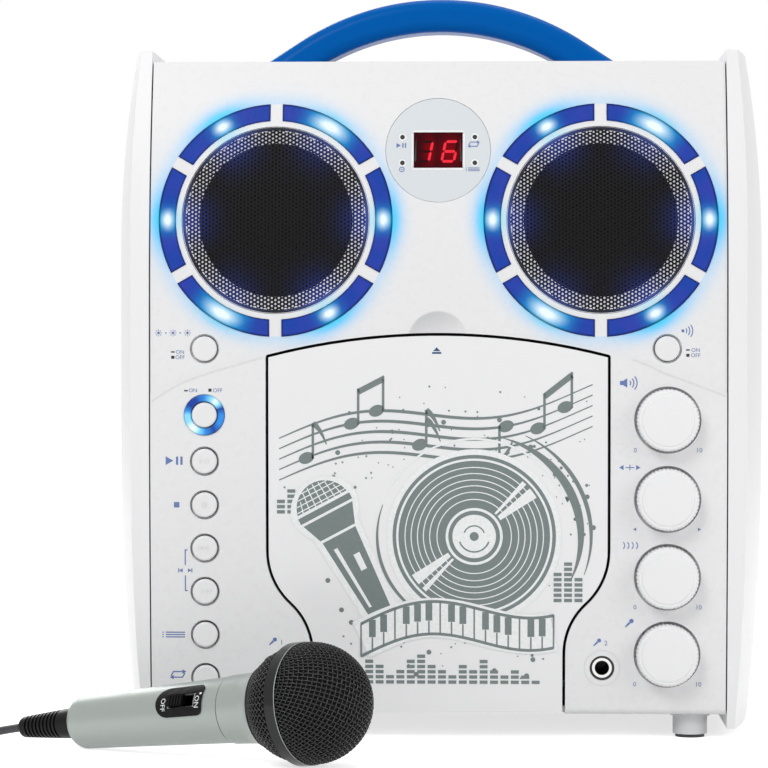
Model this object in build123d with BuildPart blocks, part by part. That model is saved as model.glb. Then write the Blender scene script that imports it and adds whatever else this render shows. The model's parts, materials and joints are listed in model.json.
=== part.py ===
from build123d import *

import math
import os

# Karaoke machine with a front disc compartment, two lit speakers and a wired microphone.
# Millimetres. +Z is up, +X is to the right seen from the front and the front faces -Y.
# The origin is on the floor, at the centre of the four feet.

os.makedirs("parts", exist_ok=True)


# ------------------------------------------------------------------ driving dimensions

# Cabinet
body_half_w = 127.0         # half the width of the front panel and the rear cabinet
body_bottom = 11.0          # height of the cabinet's underside
body_top = 300.5            # height of the flat top
face_y = -100.0             # foremost plane of the control area
back_y = 100.0              # rear wall
split_y = -55.0             # parting plane between front panel and rear cabinet
wall = 3.0                  # moulded wall of both cabinet halves
lower_start = 165.0         # the face leans back below this height
lower_r = 1500.0            # radius of that lower curve
upper_start = 195.0         # the face leans back above this height
upper_r = 330.0             # radius of that upper curve
top_corner_r = 12.0         # rounding between face and top
bottom_corner_r = 3.0       # rounding between face and underside
fascia_step = 0.8           # how far the control area stands proud of the speaker area
crease_drop = 29.5          # the step's fall from over the door to the cabinet's sides
crease_over_door = 2.1      # height of that step over the door
reach = 5.0                 # how far a cutting tool starts in front of the face
slack = 0.3                 # small assembly clearance between separate pieces
run_gap = 0.05              # radial clearance of a running fit

# Side panels
side_gap = 0.6              # dark joint between cabinet and side panel
side_rim = 7.9              # width of the flat strip that faces forwards
side_bulge = 13.0           # how far the panel swells outside that strip
side_proud = 0.5            # how far the panel stands in front of the face
side_bottom = 4.8           # height of the panel's lower edge
side_top = 305.5            # height of the panel's upper edge
side_flat_low = 125.0       # the panel narrows below this height
side_flat_high = 215.0      # the panel narrows above this height
side_lower_r = 1085.0       # radius of the lower narrowing
side_upper_r = 550.0        # radius of the upper narrowing
side_skin = 3.0             # moulded wall of the panel
side_border = 9.0           # solid border round the hollow inside of the panel
side_corner_r = 12.0        # upper corners in side view
side_heel_r = 5.0           # lower corners in side view

# Feet
foot_inset = 15.0           # from the cabinet's side
foot_y = 78.0
foot_r = 7.65
foot_lip_r = 8.8
foot_lip_h = 1.4
pad_r = 6.5
pad_h = 1.5

# Carrying handle
handle_y = -10.0            # middle of the handle, front to back
handle_depth = 27.0
handle_outer_r = 121.0      # upper edge of the arch
handle_inner_r = 108.0      # lower edge of the arch
handle_apex_z = 334.2
handle_grip = 15.0          # thickness at the middle of the arch
handle_flare_x = 66.0       # the upper edge runs straight outside this place
handle_edge_r = 5.5
spigot_l = 12.0             # bosses that pass down through the top wall
spigot_r = 7.0

# Speakers and their light rings
speaker_z = 229.6
ring_side_gap = 3.6         # from a light ring to the cabinet's side
ring_mid_gap = 20.0         # from a light ring to the middle of the cabinet
grille_t = 1.2
grille_sink = 0.3
ledge_w = 7.3               # ledge that the grille rests on
ring_w = 7.7                # width of the ring of lenses
ring_grille_gap = 2.7       # white band between lenses and grille
ring_gap_w = 5.3            # white bridge between two lenses
ring_count = 6
ring_proud = 0.4
collar_t = 2.0              # tube behind the grille that carries the driver
driver_seat = 20.0          # depth of the driver's flange behind the foremost plane
driver_flange_w = 7.0
driver_flange_t = 2.0
driver_bore_gap = 2.3       # the basket's opening is smaller than the grille by this much
basket_depth = 23.0
basket_t = 1.8
basket_neck_r = 23.0
magnet_r = 27.0
magnet_t = 15.0
coil_r = 11.0               # middle of the voice coil former
coil_t = 1.0
coil_gap = 0.6              # clearance either side of the former
coil_l = 15.0
cone_travel = 1.5           # how far the cone swings either way
surround_w = 4.7
cone_depth = 14.6
cone_t = 1.3
cap_rise = 3.2
light_board_t = 1.6
light_board_edge = 0.3      # the board reaches out past the lenses
led_size = 4.0
led_h = 1.0

# Display
display_z = 260.5
display_r = 23.3
display_sink = 0.3
window_w = 21.7
window_h = 15.9
plate_t = 2.2
module_depth = 12.2         # depth of the display module behind the foremost plane
module_t = 8.0
module_margin = 2.2
display_board_w = 44.0
display_board_h = 26.0

# Push buttons and their light ring
button_inset = 24.0         # from the cabinet's side
button_r = 5.5
button_hole_r = 6.5
button_proud = 1.3
button_cap_t = 6.5
button_edge_r = 0.9
stem_r = 2.2
stem_engage = 3.0           # length of the stem inside its switch
sleeve_l = 3.5
sleeve_t = 1.5
latch_travel = 3.0          # longest travel, of the push-on, push-off buttons
switch_spare = 1.0          # room left in a switch at full travel
left_buttons = {
    "disco_light_button": 172.7,
    "power_button": 143.5,
    "play_button": 123.1,
    "stop_button": 103.8,
    "skip_back_button": 84.6,
    "skip_forward_button": 65.4,
    "program_button": 46.2,
    "repeat_button": 27.0,
}
avc_inset = 26.2
avc_z = 172.8
power_ring_r = 9.0
power_ring_in_r = 5.9
power_ring_proud = 0.7

# Rotary knobs
knob_inset = 26.0           # from the cabinet's side
knob_r = 13.65
knob_hole_r = 14.75
knob_proud = 8.0
knob_sink = 2.6             # how far the knob's skirt enters its recess
knob_recess = 4.0           # depth of the recess behind the face
knob_cup_t = 1.7
knob_edge_r = 1.6
knob_crown_r = 11.4         # smooth disc inside the rim
knob_crown_h = 0.6
shaft_r = 3.0
shaft_engage = 4.0          # length of the shaft inside the control
bushing_r = 4.6
bushing_gap = 0.6           # from the knob's skirt back to the bushing
pot_size = 17.0
pot_t = 8.0
knobs = {
    "master_volume_knob": 141.4,
    "balance_knob": 106.5,
    "echo_knob": 72.1,
    "mic_volume_knob": 37.8,
}

# Control boards behind buttons and knobs
board_seat = 22.0           # depth of the boards behind the foremost plane
board_t = 1.6
board_bottom = 19.0
board_top = 182.0
board_half_w = 16.0
switch_size = 9.0
post_r = 2.5

# Microphone sockets
jack_inset = 54.6           # from the cabinet's side
jack_z = 31.7
jack_bore_r = 3.2
jack_nut_r = 4.36
jack_nut_t = 3.0
jack_collar_r = 5.33
jack_dish_r = 8.0
jack_dish_depth = 1.8
jack_body_w = 13.0
jack_body_h = 15.0
jack_bore_l = 30.0

# Disc door
door_inset = 52.3           # from the cabinet's side
door_rise = 0.5             # the door's top stands this far over the underside of the light rings
door_arch = 9.5             # rise of the door's arched top
door_shoulder_z = 83.3
door_neck_inset = 19.8      # from the door's side
door_neck_z = 38.0
door_bottom = 11.6
door_corner_r = 3.0
door_gap = 1.3
door_reach = 11.0           # how deep the door's shell goes at its lower edge
hinge_depth = 15.0
hinge_z = 18.0
hinge_pin_r = 1.5
hinge_pin_l = 9.5
ear_inset = 7.9             # from the side of the door's neck
ear_t = 4.0
ear_r = 4.0
hook_w = 8.0
hook_drop = 8.4             # from the top of the door
hook_t = 2.4
hook_l = 18.0
scoop_r = 13.7              # finger hollow over the door's upper edge
scoop_depth = 1.8
scoop_drop = 2.4            # its middle is this far under the top of the door

# Disc compartment and its mechanism
disc_z = 112.0
disc_hole_r = 7.5
disc_t = 1.2
well_t = 2.2
well_depth = 28.0           # inner face of the compartment's rear wall
well_floor_z = 27.0
platter_r = 16.0
platter_depth = 20.0        # face that the disc rests on
platter_t = 2.0
hub_l = 6.0
spindle_r = 1.0
spindle_l = 22.0
clamp_r = 15.0
clamp_t = 2.0
clamp_depth = 6.5
clamp_nose_r = 13.0
clamp_nose_in_r = 8.6
clamp_lip_depth = 9.0
clamp_lip_t = 1.5
clamp_boss_t = 3.0
deck_depth = 32.0
deck_t = 2.0
deck_left = -48.0
deck_right = 80.0
deck_half_h = 42.0
motor_r = 12.0
motor_l = 14.0
lens_near = 25.0            # lens radius at the start of a disc
lens_travel = 33.0
sled_left = 11.0            # sled body either side of the lens
sled_right = 10.0
sled_half_h = 20.0
sled_depth = 36.5
sled_t = 7.0
tower_half = 6.0
tower_front = 23.0
lens_r = 3.0
slot_half_h = 9.0
slot_margin = 9.0
rail_r = 1.5
rail_dz = 16.0
rail_left = -8.0
rail_right = 77.0
lug_t = 3.0
lug_h = 7.0
gear_teeth = 12
gear_module = 1.0
gear_backlash = 0.13
gear_tip = 0.85             # height of a tooth outside the pitch line, in modules
gear_root = 1.2             # depth of a tooth inside the pitch line, in modules
gear_angle = 20.0           # slope of the rack's flanks in degrees
gear_x = 33.0
gear_t = 4.0
gear_shaft_r = 1.5
sled_motor_r = 8.0
sled_motor_l = 14.0
sled_motor_post_dx = 11.0

# Rear cabinet fittings
vent_w = 44.0
vent_h = 3.2
vent_pitch = 7.0
vent_rows = 7
vent_z = 235.0
vent_x = 55.0
screw_r = 1.9
screw_head_r = 3.6
screw_head_t = 2.4
screw_l = 20.0
screw_hole_gap = 0.1
screw_boss_r = 5.0
screw_inset = 15.0
screw_rows = (28.0, 118.0, 208.0, 284.0)
socket_plate_w = 96.0
socket_plate_h = 30.0
socket_plate_t = 3.0
socket_z = 52.0
phono_count = 4
phono_pitch = 16.0
phono_r = 4.2
phono_l = 9.0
inlet_w = 15.0
inlet_h = 9.0
inlet_depth = 10.0
main_board_half_w = 75.0
main_board_bottom = 75.0
main_board_top = 190.0
main_board_gap = 22.0       # distance of the board from the rear wall
chip_size = 14.0
transformer_w = 52.0
transformer_h = 44.0
transformer_d = 42.0

# Microphone, along its own axis from the tail to the head
mic_tail = (-146.9, -135.0)  # where the tail rests on the floor
mic_head = (-50.1, -193.5)   # under the centre of the head
mic_tail_r = 11.65
mic_head_r = 25.7
mic_tail_lift = 0.35        # the tilted tail and band reach lower than their own radius
mic_head_lift = 0.65
mic_end = -10.0             # end of the handle behind the resting point
mic_end_r = 7.1
mic_end_round = 6.5         # length of the rounded tail end
mic_tail_taper = 0.15
mic_waist_r = 15.8          # middle of the flare under the head
mic_waist_shift = 1.0       # that middle lies this far towards the head
mic_seam = 74.2
mic_seam_r = 14.0
mic_seam_step = 0.4         # the neck stands proud of the handle
mic_neck = 83.0
mic_neck_r = 14.8
mic_flare = 92.0
mic_flare_r = 17.6
mic_shell = 1.8
mic_band_half = 2.35
mic_band_back = 4.1         # the band lies behind the centre of the head
mic_band_t = 1.6
mic_mesh_t = 1.2
mic_mesh_rear_r = 17.0
mic_mesh_swell = 1.0        # bulge of the mesh behind the band
capsule_r = 14.9
capsule_l = 16.0
switch_s = 55.6             # middle of the switch's slot
switch_lift = 27.0          # degrees that the switch faces upwards
switch_travel = 5.0
slider_l = 7.4
slider_w = 5.0
slider_h = 1.8
relief_l = 31.0
relief_big_r = 6.9
relief_small_r = 4.65
relief_ribs = 9
relief_tip_r = 2.1

# Microphone cord, coil and plug
cord_d = 3.6
cord_length = 3000.0
coil_mean_d = 42.0
coil_columns = 5            # turns side by side
coil_layers = 5             # turns on each other
coil_x = -238.0
coil_y = -52.0
lead_in_turn = -115.0       # angle round the coil where the cord joins its outer turn
lead_out_turn = -150.0      # angle round the coil where the cord leaves it
plug_barrel_r = 5.6
plug_barrel_l = 27.0
plug_boot_r = 3.6
plug_boot_l = 9.0
plug_pin_r = 3.15
plug_pin_l = 30.0
plug_tip_l = 5.0
plug_groove_r = 2.3
plug_nose_r = 0.95
plug_start = (-274.5, -40.0)  # where the cord enters the plug's boot
plug_turn = 98.0            # direction of the plug on the floor, from +X


# ------------------------------------------------------------------ sizes worked out from those

foot_x = body_half_w - foot_inset
button_x = body_half_w - button_inset
avc_x = body_half_w - avc_inset
knob_x = body_half_w - knob_inset
jack_x = body_half_w - jack_inset
screw_x = body_half_w - screw_inset
ring_out_r = (body_half_w - ring_side_gap - ring_mid_gap) / 2
ring_in_r = ring_out_r - ring_w
speaker_x = ring_mid_gap + ring_out_r
grille_r = ring_in_r - ring_grille_gap
ledge_r = grille_r - ledge_w
driver_bore_r = grille_r - driver_bore_gap
driver_flange_r = driver_bore_r + driver_flange_w
light_board_r = ring_out_r + light_board_edge
door_half_w = body_half_w - door_inset
door_apex_z = speaker_z - ring_out_r + door_rise
door_corner_z = door_apex_z - door_arch
door_neck_half_w = door_half_w - door_neck_inset
ear_x = door_neck_half_w - ear_inset
hook_z = door_apex_z - hook_drop
scoop_z = door_apex_z - scoop_drop
crease_mid_z = door_apex_z + crease_over_door
crease_side_z = crease_mid_z - crease_drop


# ------------------------------------------------------------------ shared geometry

def face_at(z, inset=0.0):
    """Y of the front face at height z, moved inwards by inset."""
    below = max(0.0, lower_start - z)
    above = max(0.0, z - upper_start)
    lean = lower_r - math.sqrt(lower_r ** 2 - below ** 2)
    lean += upper_r - math.sqrt(upper_r ** 2 - above ** 2)
    return face_y + lean + inset


def front_plane(y):
    """Plane across the cabinet at depth y, with local x = X and local y = Z, facing forwards."""
    return Plane.XZ.offset(-y)


def side_profile(inset, back, bottom=body_bottom, top=body_top,
                 heel_r=bottom_corner_r, crown_r=top_corner_r, step=0.0):
    """Side view of the cabinet's front, moved inwards by inset and closed at y = back.

    The face alone moves inwards by a further step.
    """
    low = bottom + inset
    high = top - inset
    face_in = inset + step
    low_mid = (low + lower_start) / 2
    high_mid = (high + upper_start) / 2
    with BuildSketch(Plane.YZ) as profile:
        with BuildLine():
            Polyline((face_at(low, face_in), low), (back, low), (back, high), (face_at(high, face_in), high))
            ThreePointArc(
                (face_at(high, face_in), high),
                (face_at(high_mid, face_in), high_mid),
                (face_at(upper_start, face_in), upper_start),
            )
            Line((face_at(upper_start, face_in), upper_start), (face_at(lower_start, face_in), lower_start))
            ThreePointArc(
                (face_at(lower_start, face_in), lower_start),
                (face_at(low_mid, face_in), low_mid),
                (face_at(low, face_in), low),
            )
        make_face()
        low_corners = profile.vertices().sort_by(Axis.Z)[:2]
        high_corners = profile.vertices().sort_by(Axis.Z)[-2:]
        fillet(low_corners.sort_by(Axis.Y)[0], radius=max(heel_r - inset, 0.5))
        fillet(high_corners.sort_by(Axis.Y)[0], radius=max(crown_r - inset, 0.5))
    return profile.sketch


def keep_skin(outer, inner):
    """Keep of the part in hand only the layer of the front between two depths under its surface."""
    extrude(side_profile(outer, split_y), amount=body_half_w, both=True, mode=Mode.INTERSECT)
    inside = side_profile(inner, split_y + reach)
    extrude(inside, amount=body_half_w + reach, both=True, mode=Mode.SUBTRACT)


def disc_y(centre, radius, front, back, mode=Mode.ADD):
    """Round solid along Y at centre (x, z), from depth front to depth back behind the foremost plane."""
    with BuildSketch(front_plane(face_y + front)) as section:
        with Locations(centre):
            Circle(radius)
    extrude(section.sketch, amount=front - back, mode=mode)


def tube_y(centre, outer, inner, front, back, mode=Mode.ADD):
    """Round tube along Y at centre (x, z), between two depths behind the foremost plane."""
    with BuildSketch(front_plane(face_y + front)) as section:
        with Locations(centre):
            Circle(outer)
            Circle(inner, mode=Mode.SUBTRACT)
    extrude(section.sketch, amount=front - back, mode=mode)


def block_y(centre, width, height, front, back, mode=Mode.ADD):
    """Square-edged solid along Y at centre (x, z), between two depths behind the foremost plane."""
    with BuildSketch(front_plane(face_y + front)) as section:
        with Locations(centre):
            Rectangle(width, height)
    extrude(section.sketch, amount=front - back, mode=mode)


def door_outline(plane, grow, bottom):
    """Outline of the disc door: arched top, straight sides, and shoulders down to a narrower neck."""
    step_x = (door_half_w - door_neck_half_w) / 2
    step_z = (door_shoulder_z - door_neck_z) / 2
    curve_r = (step_x ** 2 + step_z ** 2) / (2 * step_x)
    half_turn = math.asin(step_z / curve_r) / 2
    dx = curve_r * (1 - math.cos(half_turn))
    dz = curve_r * math.sin(half_turn)
    middle = (door_half_w - step_x, door_shoulder_z - step_z)
    with BuildSketch(plane) as outline:
        with BuildLine():
            ThreePointArc((-door_half_w, door_corner_z), (0, door_apex_z), (door_half_w, door_corner_z))
            for side in (-1, 1):
                Line((side * door_half_w, door_corner_z), (side * door_half_w, door_shoulder_z))
                ThreePointArc(
                    (side * door_half_w, door_shoulder_z),
                    (side * (door_half_w - dx), door_shoulder_z - dz),
                    (side * middle[0], middle[1]),
                )
                ThreePointArc(
                    (side * middle[0], middle[1]),
                    (side * (door_neck_half_w + dx), door_neck_z + dz),
                    (side * door_neck_half_w, door_neck_z),
                )
                Line((side * door_neck_half_w, door_neck_z), (side * door_neck_half_w, bottom))
            Line((-door_neck_half_w, bottom), (door_neck_half_w, bottom))
        make_face()
        corners = [v for v in outline.vertices() if abs(v.Z - door_corner_z) < slack]
        fillet(corners, radius=door_corner_r)
        if grow:
            offset(amount=grow, mode=Mode.REPLACE)
    return outline.sketch


def ring_segments(grow):
    """Sketch of one light ring's segments round the local origin, each side moved out by grow."""
    middle_r = (ring_in_r + ring_out_r) / 2
    Circle(ring_out_r + grow)
    Circle(ring_in_r - grow, mode=Mode.SUBTRACT)
    with PolarLocations(middle_r, ring_count, start_angle=180 / ring_count):
        Rectangle(ring_out_r - ring_in_r + reach, ring_gap_w - 2 * grow, mode=Mode.SUBTRACT)


def write(name, piece, tint):
    """Label a finished piece and write it as its own STEP file."""
    piece.part.label = name
    piece.part.color = Color(*tint)
    export_step(piece.part, f"parts/{name}.step")


white = (0.93, 0.93, 0.94)
blue = (0.0, 0.36, 0.69)
black = (0.03, 0.03, 0.03)
grey = (0.5, 0.5, 0.52)
steel = (0.7, 0.72, 0.72)
green = (0.05, 0.3, 0.12)
sides = {"left": -1, "right": 1}
button_places = [(-button_x, z) for z in left_buttons.values()] + [(avc_x, avc_z)]
knob_places = [(knob_x, z) for z in knobs.values()]
speaker_places = [(side * speaker_x, speaker_z) for side in sides.values()]
jack_places = [(side * jack_x, jack_z) for side in sides.values()]
power_place = (-button_x, left_buttons["power_button"])
hinge_y = face_y + hinge_depth
skin_depth = wall + fascia_step     # inner face of the front panel behind the control area
switch_t = stem_engage + latch_travel + switch_spare

# arch of the carrying handle
outer_centre_z = handle_apex_z - handle_outer_r
inner_apex_z = handle_apex_z - handle_grip
inner_centre_z = inner_apex_z - handle_inner_r
flare_z = outer_centre_z + math.sqrt(handle_outer_r ** 2 - handle_flare_x ** 2)
flare_slope = handle_flare_x / (flare_z - outer_centre_z)
foot_out_x = handle_flare_x + (flare_z - body_top) / flare_slope
foot_in_x = math.sqrt(handle_inner_r ** 2 - (body_top - inner_centre_z) ** 2)
handle_foot_x = (foot_out_x + foot_in_x) / 2


def depth_at(z):
    """Depth of the face at height z behind the foremost plane."""
    return face_at(z) - face_y


def turned_y(centre, points, mode=Mode.ADD):
    """Solid of revolution about the Y line through centre (x, z); points are (radius, depth) pairs."""
    x, z = centre
    with BuildSketch(Plane(origin=(x, face_y, z), x_dir=(1, 0, 0), z_dir=(0, 0, 1))) as section:
        with BuildLine():
            Polyline(*points, close=True)
        make_face()
    revolve(section.sketch, axis=Axis((x, face_y, z), (0, 1, 0)), mode=mode)


# ------------------------------------------------------------------ cabinet

def crease_region(plane):
    """Everything under the arched step between speaker area and control area."""
    wide = body_half_w + reach
    with BuildSketch(plane) as region:
        with BuildLine():
            ThreePointArc((-wide, crease_side_z), (0, crease_mid_z), (wide, crease_side_z))
            Polyline((wide, crease_side_z), (wide, 0), (-wide, 0), (-wide, crease_side_z))
        make_face()
    return region.sketch


with BuildPart() as control_area:
    extrude(crease_region(front_plane(split_y)), amount=split_y - face_y + reach)
    extrude(side_profile(0, split_y), amount=body_half_w, both=True, mode=Mode.INTERSECT)

# Tubes, cups and posts behind the face, before they are trimmed to it
board_posts = [
    (side * knob_x + dx, z)
    for side in sides.values()
    for dx in (-board_half_w + post_r, board_half_w - post_r)
    for z in ((knobs["master_volume_knob"] + knobs["balance_knob"]) / 2,
              (knobs["echo_knob"] + knobs["mic_volume_knob"]) / 2)
]
with BuildPart() as panel_bosses:
    for place in speaker_places:
        tube_y(place, grille_r + slack + collar_t, grille_r + slack, 0, driver_seat)
    for place in button_places:
        back = depth_at(place[1]) + skin_depth + sleeve_l
        disc_y(place, button_r + slack + sleeve_t, 0, back)
    for place in knob_places:
        back = depth_at(place[1]) + knob_recess + knob_cup_t
        disc_y(place, knob_hole_r + knob_cup_t, 0, back)
    for place in board_posts:
        disc_y(place, post_r, 0, board_seat)
    trim = side_profile(wall / 2, split_y, step=fascia_step)
    extrude(trim, amount=body_half_w - wall / 2, both=True, mode=Mode.INTERSECT)

# Shallow seats for the speaker grilles
grille_back = fascia_step + grille_sink + grille_t
with BuildPart() as grille_seats:
    for place in speaker_places:
        disc_y(place, grille_r + slack, -reach, driver_seat)
    keep_skin(-reach, grille_back + slack / 2)

with BuildPart() as front_panel:
    extrude(side_profile(0, split_y, step=fascia_step), amount=body_half_w, both=True)
    add(control_area.part)
    hollow = side_profile(wall, split_y + reach, step=fascia_step)
    extrude(hollow, amount=body_half_w - wall, both=True, mode=Mode.SUBTRACT)
    add(panel_bosses.part)
    for place in speaker_places:
        disc_y(place, ledge_r, -reach, driver_seat + reach, mode=Mode.SUBTRACT)
        with BuildSketch(front_plane(face_y - reach)):
            with Locations(place):
                ring_segments(0)
        extrude(amount=-reach - driver_seat, mode=Mode.SUBTRACT)
    add(grille_seats.part, mode=Mode.SUBTRACT)
    disc_y((0, display_z), display_r, -reach, driver_seat, mode=Mode.SUBTRACT)
    for place in button_places:
        back = depth_at(place[1]) + wall
        disc_y(place, button_hole_r, -reach, back, mode=Mode.SUBTRACT)
        disc_y(place, button_r + slack, -reach, board_seat, mode=Mode.SUBTRACT)
    disc_y(power_place, power_ring_r + slack / 2, -reach, depth_at(power_place[1]) + wall, mode=Mode.SUBTRACT)
    for place in knob_places:
        back = depth_at(place[1]) + knob_recess
        disc_y(place, knob_hole_r, -reach, back, mode=Mode.SUBTRACT)
        disc_y(place, bushing_r + slack, -reach, board_seat, mode=Mode.SUBTRACT)
    dish_ball_r = (jack_dish_r ** 2 + jack_dish_depth ** 2) / (2 * jack_dish_depth)
    for place in jack_places:
        with Locations((place[0], face_at(place[1]) + jack_dish_depth - dish_ball_r, place[1])):
            Sphere(dish_ball_r, mode=Mode.SUBTRACT)
        disc_y(place, jack_collar_r + slack / 2, -reach, board_seat, mode=Mode.SUBTRACT)
    scoop_ball_r = (scoop_r ** 2 + scoop_depth ** 2) / (2 * scoop_depth)
    with Locations((0, face_y + scoop_depth - scoop_ball_r, scoop_z)):
        Sphere(scoop_ball_r, mode=Mode.SUBTRACT)
    opening = door_outline(front_plane(face_y - reach), door_gap, door_bottom)
    extrude(opening, amount=-reach - hinge_depth - ear_r / 2, mode=Mode.SUBTRACT)

with BuildPart() as rear_cabinet:
    with BuildSketch(Plane.YZ) as rear_profile:
        with Locations(((split_y + back_y) / 2, (body_bottom + body_top) / 2)):
            Rectangle(back_y - split_y, body_top - body_bottom)
        rear_corners = rear_profile.vertices().sort_by(Axis.Y)[-2:]
        fillet(rear_corners.sort_by(Axis.Z)[1], radius=top_corner_r)
        fillet(rear_profile.vertices().group_by(Axis.Z)[0].sort_by(Axis.Y)[1], radius=bottom_corner_r)
    extrude(amount=body_half_w, both=True)
    hollow_l = back_y - wall - split_y
    with Locations((0, split_y + hollow_l / 2, (body_bottom + body_top) / 2)):
        Box(2 * (body_half_w - wall), hollow_l, body_top - body_bottom - 2 * wall, mode=Mode.SUBTRACT)
    # screw bosses behind the rear wall
    screw_places = [(side * screw_x, z) for side in sides.values() for z in screw_rows]
    rear_in = back_y - wall - face_y
    rear_out = back_y - face_y
    for place in screw_places:
        disc_y(place, screw_boss_r, rear_out - screw_l - wall, rear_in)
        disc_y(place, screw_r + screw_hole_gap, rear_out - screw_l - wall, rear_out, mode=Mode.SUBTRACT)
        disc_y(place, screw_head_r + slack, rear_out - screw_head_t, rear_out, mode=Mode.SUBTRACT)
    # ventilation slots in two columns
    for side in sides.values():
        for row in range(vent_rows):
            place = (side * vent_x, vent_z + (row - (vent_rows - 1) / 2) * vent_pitch)
            block_y(place, vent_w, vent_h, rear_in - reach, rear_out + reach, mode=Mode.SUBTRACT)
    # opening for the socket plate
    block_y((0, socket_z), socket_plate_w - 2 * wall, socket_plate_h - 2 * wall,
            rear_in - reach, rear_out + reach, mode=Mode.SUBTRACT)
    block_y((0, socket_z), socket_plate_w + slack, socket_plate_h + slack,
            rear_out - wall / 2, rear_out + reach, mode=Mode.SUBTRACT)
    # posts that carry the main board
    for x in (-main_board_half_w + reach, main_board_half_w - reach):
        for z in (main_board_bottom + reach, main_board_top - reach):
            disc_y((x, z), post_r, rear_in - main_board_gap, rear_in)
    # holes for the handle's bosses
    for side in sides.values():
        with Locations((side * handle_foot_x, handle_y, body_top - wall / 2)):
            Cylinder(spigot_r + slack / 2, wall + slack, mode=Mode.SUBTRACT)

with BuildPart() as cabinet_screws:
    for place in screw_places:
        disc_y(place, screw_head_r, rear_out - screw_head_t, rear_out - slack)
        disc_y(place, screw_r, rear_out - screw_l, rear_out - screw_head_t)


# ------------------------------------------------------------------ side panels

side_inner_x = body_half_w + side_gap
side_rim_x = side_inner_x + side_rim
side_crest_x = side_rim_x + side_bulge


def side_section(inset, level):
    """Plan of the right side panel at one height, moved inwards by inset."""
    rim = side_rim_x - inset
    front = face_y - side_proud
    back = back_y + side_proud
    with BuildSketch(Plane.XY.offset(level)) as section:
        with BuildLine():
            ThreePointArc((rim, front), (side_crest_x - inset, (front + back) / 2), (rim, back))
            Polyline((rim, back), (body_half_w - wall, back), (body_half_w - wall, front), (rim, front))
        make_face()
    return section.sketch


def side_block(inset):
    """Swollen form of the right side panel, moved inwards by inset, before it is trimmed."""
    extrude(side_section(inset, side_flat_low), amount=side_flat_high - side_flat_low)
    narrowings = (
        (side_flat_low, side_lower_r, side_flat_low, (0, 1, 0)),
        (side_flat_high, side_upper_r, side_top - side_flat_high + side_rim, (0, -1, 0)),
    )
    for level, radius, height, direction in narrowings:
        turn = math.degrees(math.asin(height / radius))
        bend_line = Axis((side_crest_x - radius, 0, level), direction)
        revolve(side_section(inset, level), axis=bend_line, revolution_arc=turn)


def side_outline(inset):
    """Side view of a side panel, moved inwards by inset."""
    return side_profile(inset - side_proud, back_y + side_proud - inset, side_bottom + side_proud,
                        side_top - side_proud, side_heel_r, side_corner_r)


with BuildPart() as side_hollow:
    side_block(side_skin)
    extrude(side_outline(side_border), amount=side_crest_x, mode=Mode.INTERSECT)

with BuildPart() as right_side_panel:
    side_block(0)
    extrude(side_outline(0), amount=side_crest_x, mode=Mode.INTERSECT)
    add(side_hollow.part, mode=Mode.SUBTRACT)
    with Locations((side_inner_x / 2, 0, side_top / 2)):
        Box(side_inner_x, 2 * side_top, 2 * side_top, mode=Mode.SUBTRACT)

with BuildPart() as left_side_panel:
    mirror(right_side_panel.part, about=Plane.YZ)


# ------------------------------------------------------------------ feet and handle

foot_places = [(x, y) for x in (-foot_x, foot_x) for y in (-foot_y, foot_y)]

with BuildPart() as feet:
    with BuildSketch(Plane.XY.offset(pad_h)):
        with Locations(*foot_places):
            Circle(foot_r)
    extrude(amount=body_bottom - pad_h)
    with BuildSketch(Plane.XY.offset(body_bottom)):
        with Locations(*foot_places):
            Circle(foot_lip_r)
    extrude(amount=-foot_lip_h)

with BuildPart() as foot_pads:
    with BuildSketch(Plane.XY):
        with Locations(*foot_places):
            Circle(pad_r)
    extrude(amount=pad_h)

with BuildPart() as carry_handle:
    with BuildSketch(front_plane(handle_y - handle_depth / 2)):
        with BuildLine():
            ThreePointArc((-handle_flare_x, flare_z), (0, handle_apex_z), (handle_flare_x, flare_z))
            Line((handle_flare_x, flare_z), (foot_out_x, body_top))
            Line((foot_out_x, body_top), (foot_in_x, body_top))
            ThreePointArc((foot_in_x, body_top), (0, inner_apex_z), (-foot_in_x, body_top))
            Line((-foot_in_x, body_top), (-foot_out_x, body_top))
            Line((-foot_out_x, body_top), (-handle_flare_x, flare_z))
        make_face()
    extrude(amount=-handle_depth)
    long_edges = carry_handle.edges().filter_by(Axis.Y, reverse=True)
    rims = [e for e in long_edges if e.center().Z > body_top + handle_edge_r]
    fillet(rims, radius=handle_edge_r)
    for side in sides.values():
        with BuildSketch(Plane.XY.offset(body_top)):
            with Locations((side * handle_foot_x, handle_y)):
                Circle(spigot_r)
        extrude(amount=-spigot_l)


# ------------------------------------------------------------------ speakers and lights

flange_back = driver_seat + driver_flange_t
basket_back = driver_seat + basket_depth
magnet_back = basket_back + magnet_t
pole_r = coil_r - coil_t / 2 - coil_gap
plate_in_r = coil_r + coil_t / 2 + coil_gap
rim_front = driver_seat + coil_t
rim_room = rim_front + cone_t + cone_travel + slack
basket_profile = [
    (driver_bore_r, driver_seat),
    (driver_flange_r, driver_seat),
    (driver_flange_r, flange_back),
    (driver_bore_r + basket_t, flange_back),
    (driver_bore_r + basket_t, rim_room),
    (basket_neck_r, basket_back),
    (magnet_r, basket_back),
    (magnet_r, magnet_back),
    (0, magnet_back),
    (0, basket_back - coil_gap),
    (pole_r, basket_back - coil_gap),
    (pole_r, magnet_back - driver_flange_t),
    (plate_in_r, magnet_back - driver_flange_t),
    (plate_in_r, basket_back),
    (basket_neck_r - basket_t, basket_back),
    (driver_bore_r, rim_room),
]
surround_r = driver_bore_r - slack
cone_back = driver_seat + cone_depth
neck_in = coil_r - coil_t / 2
neck_out = coil_r + coil_t / 2
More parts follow.
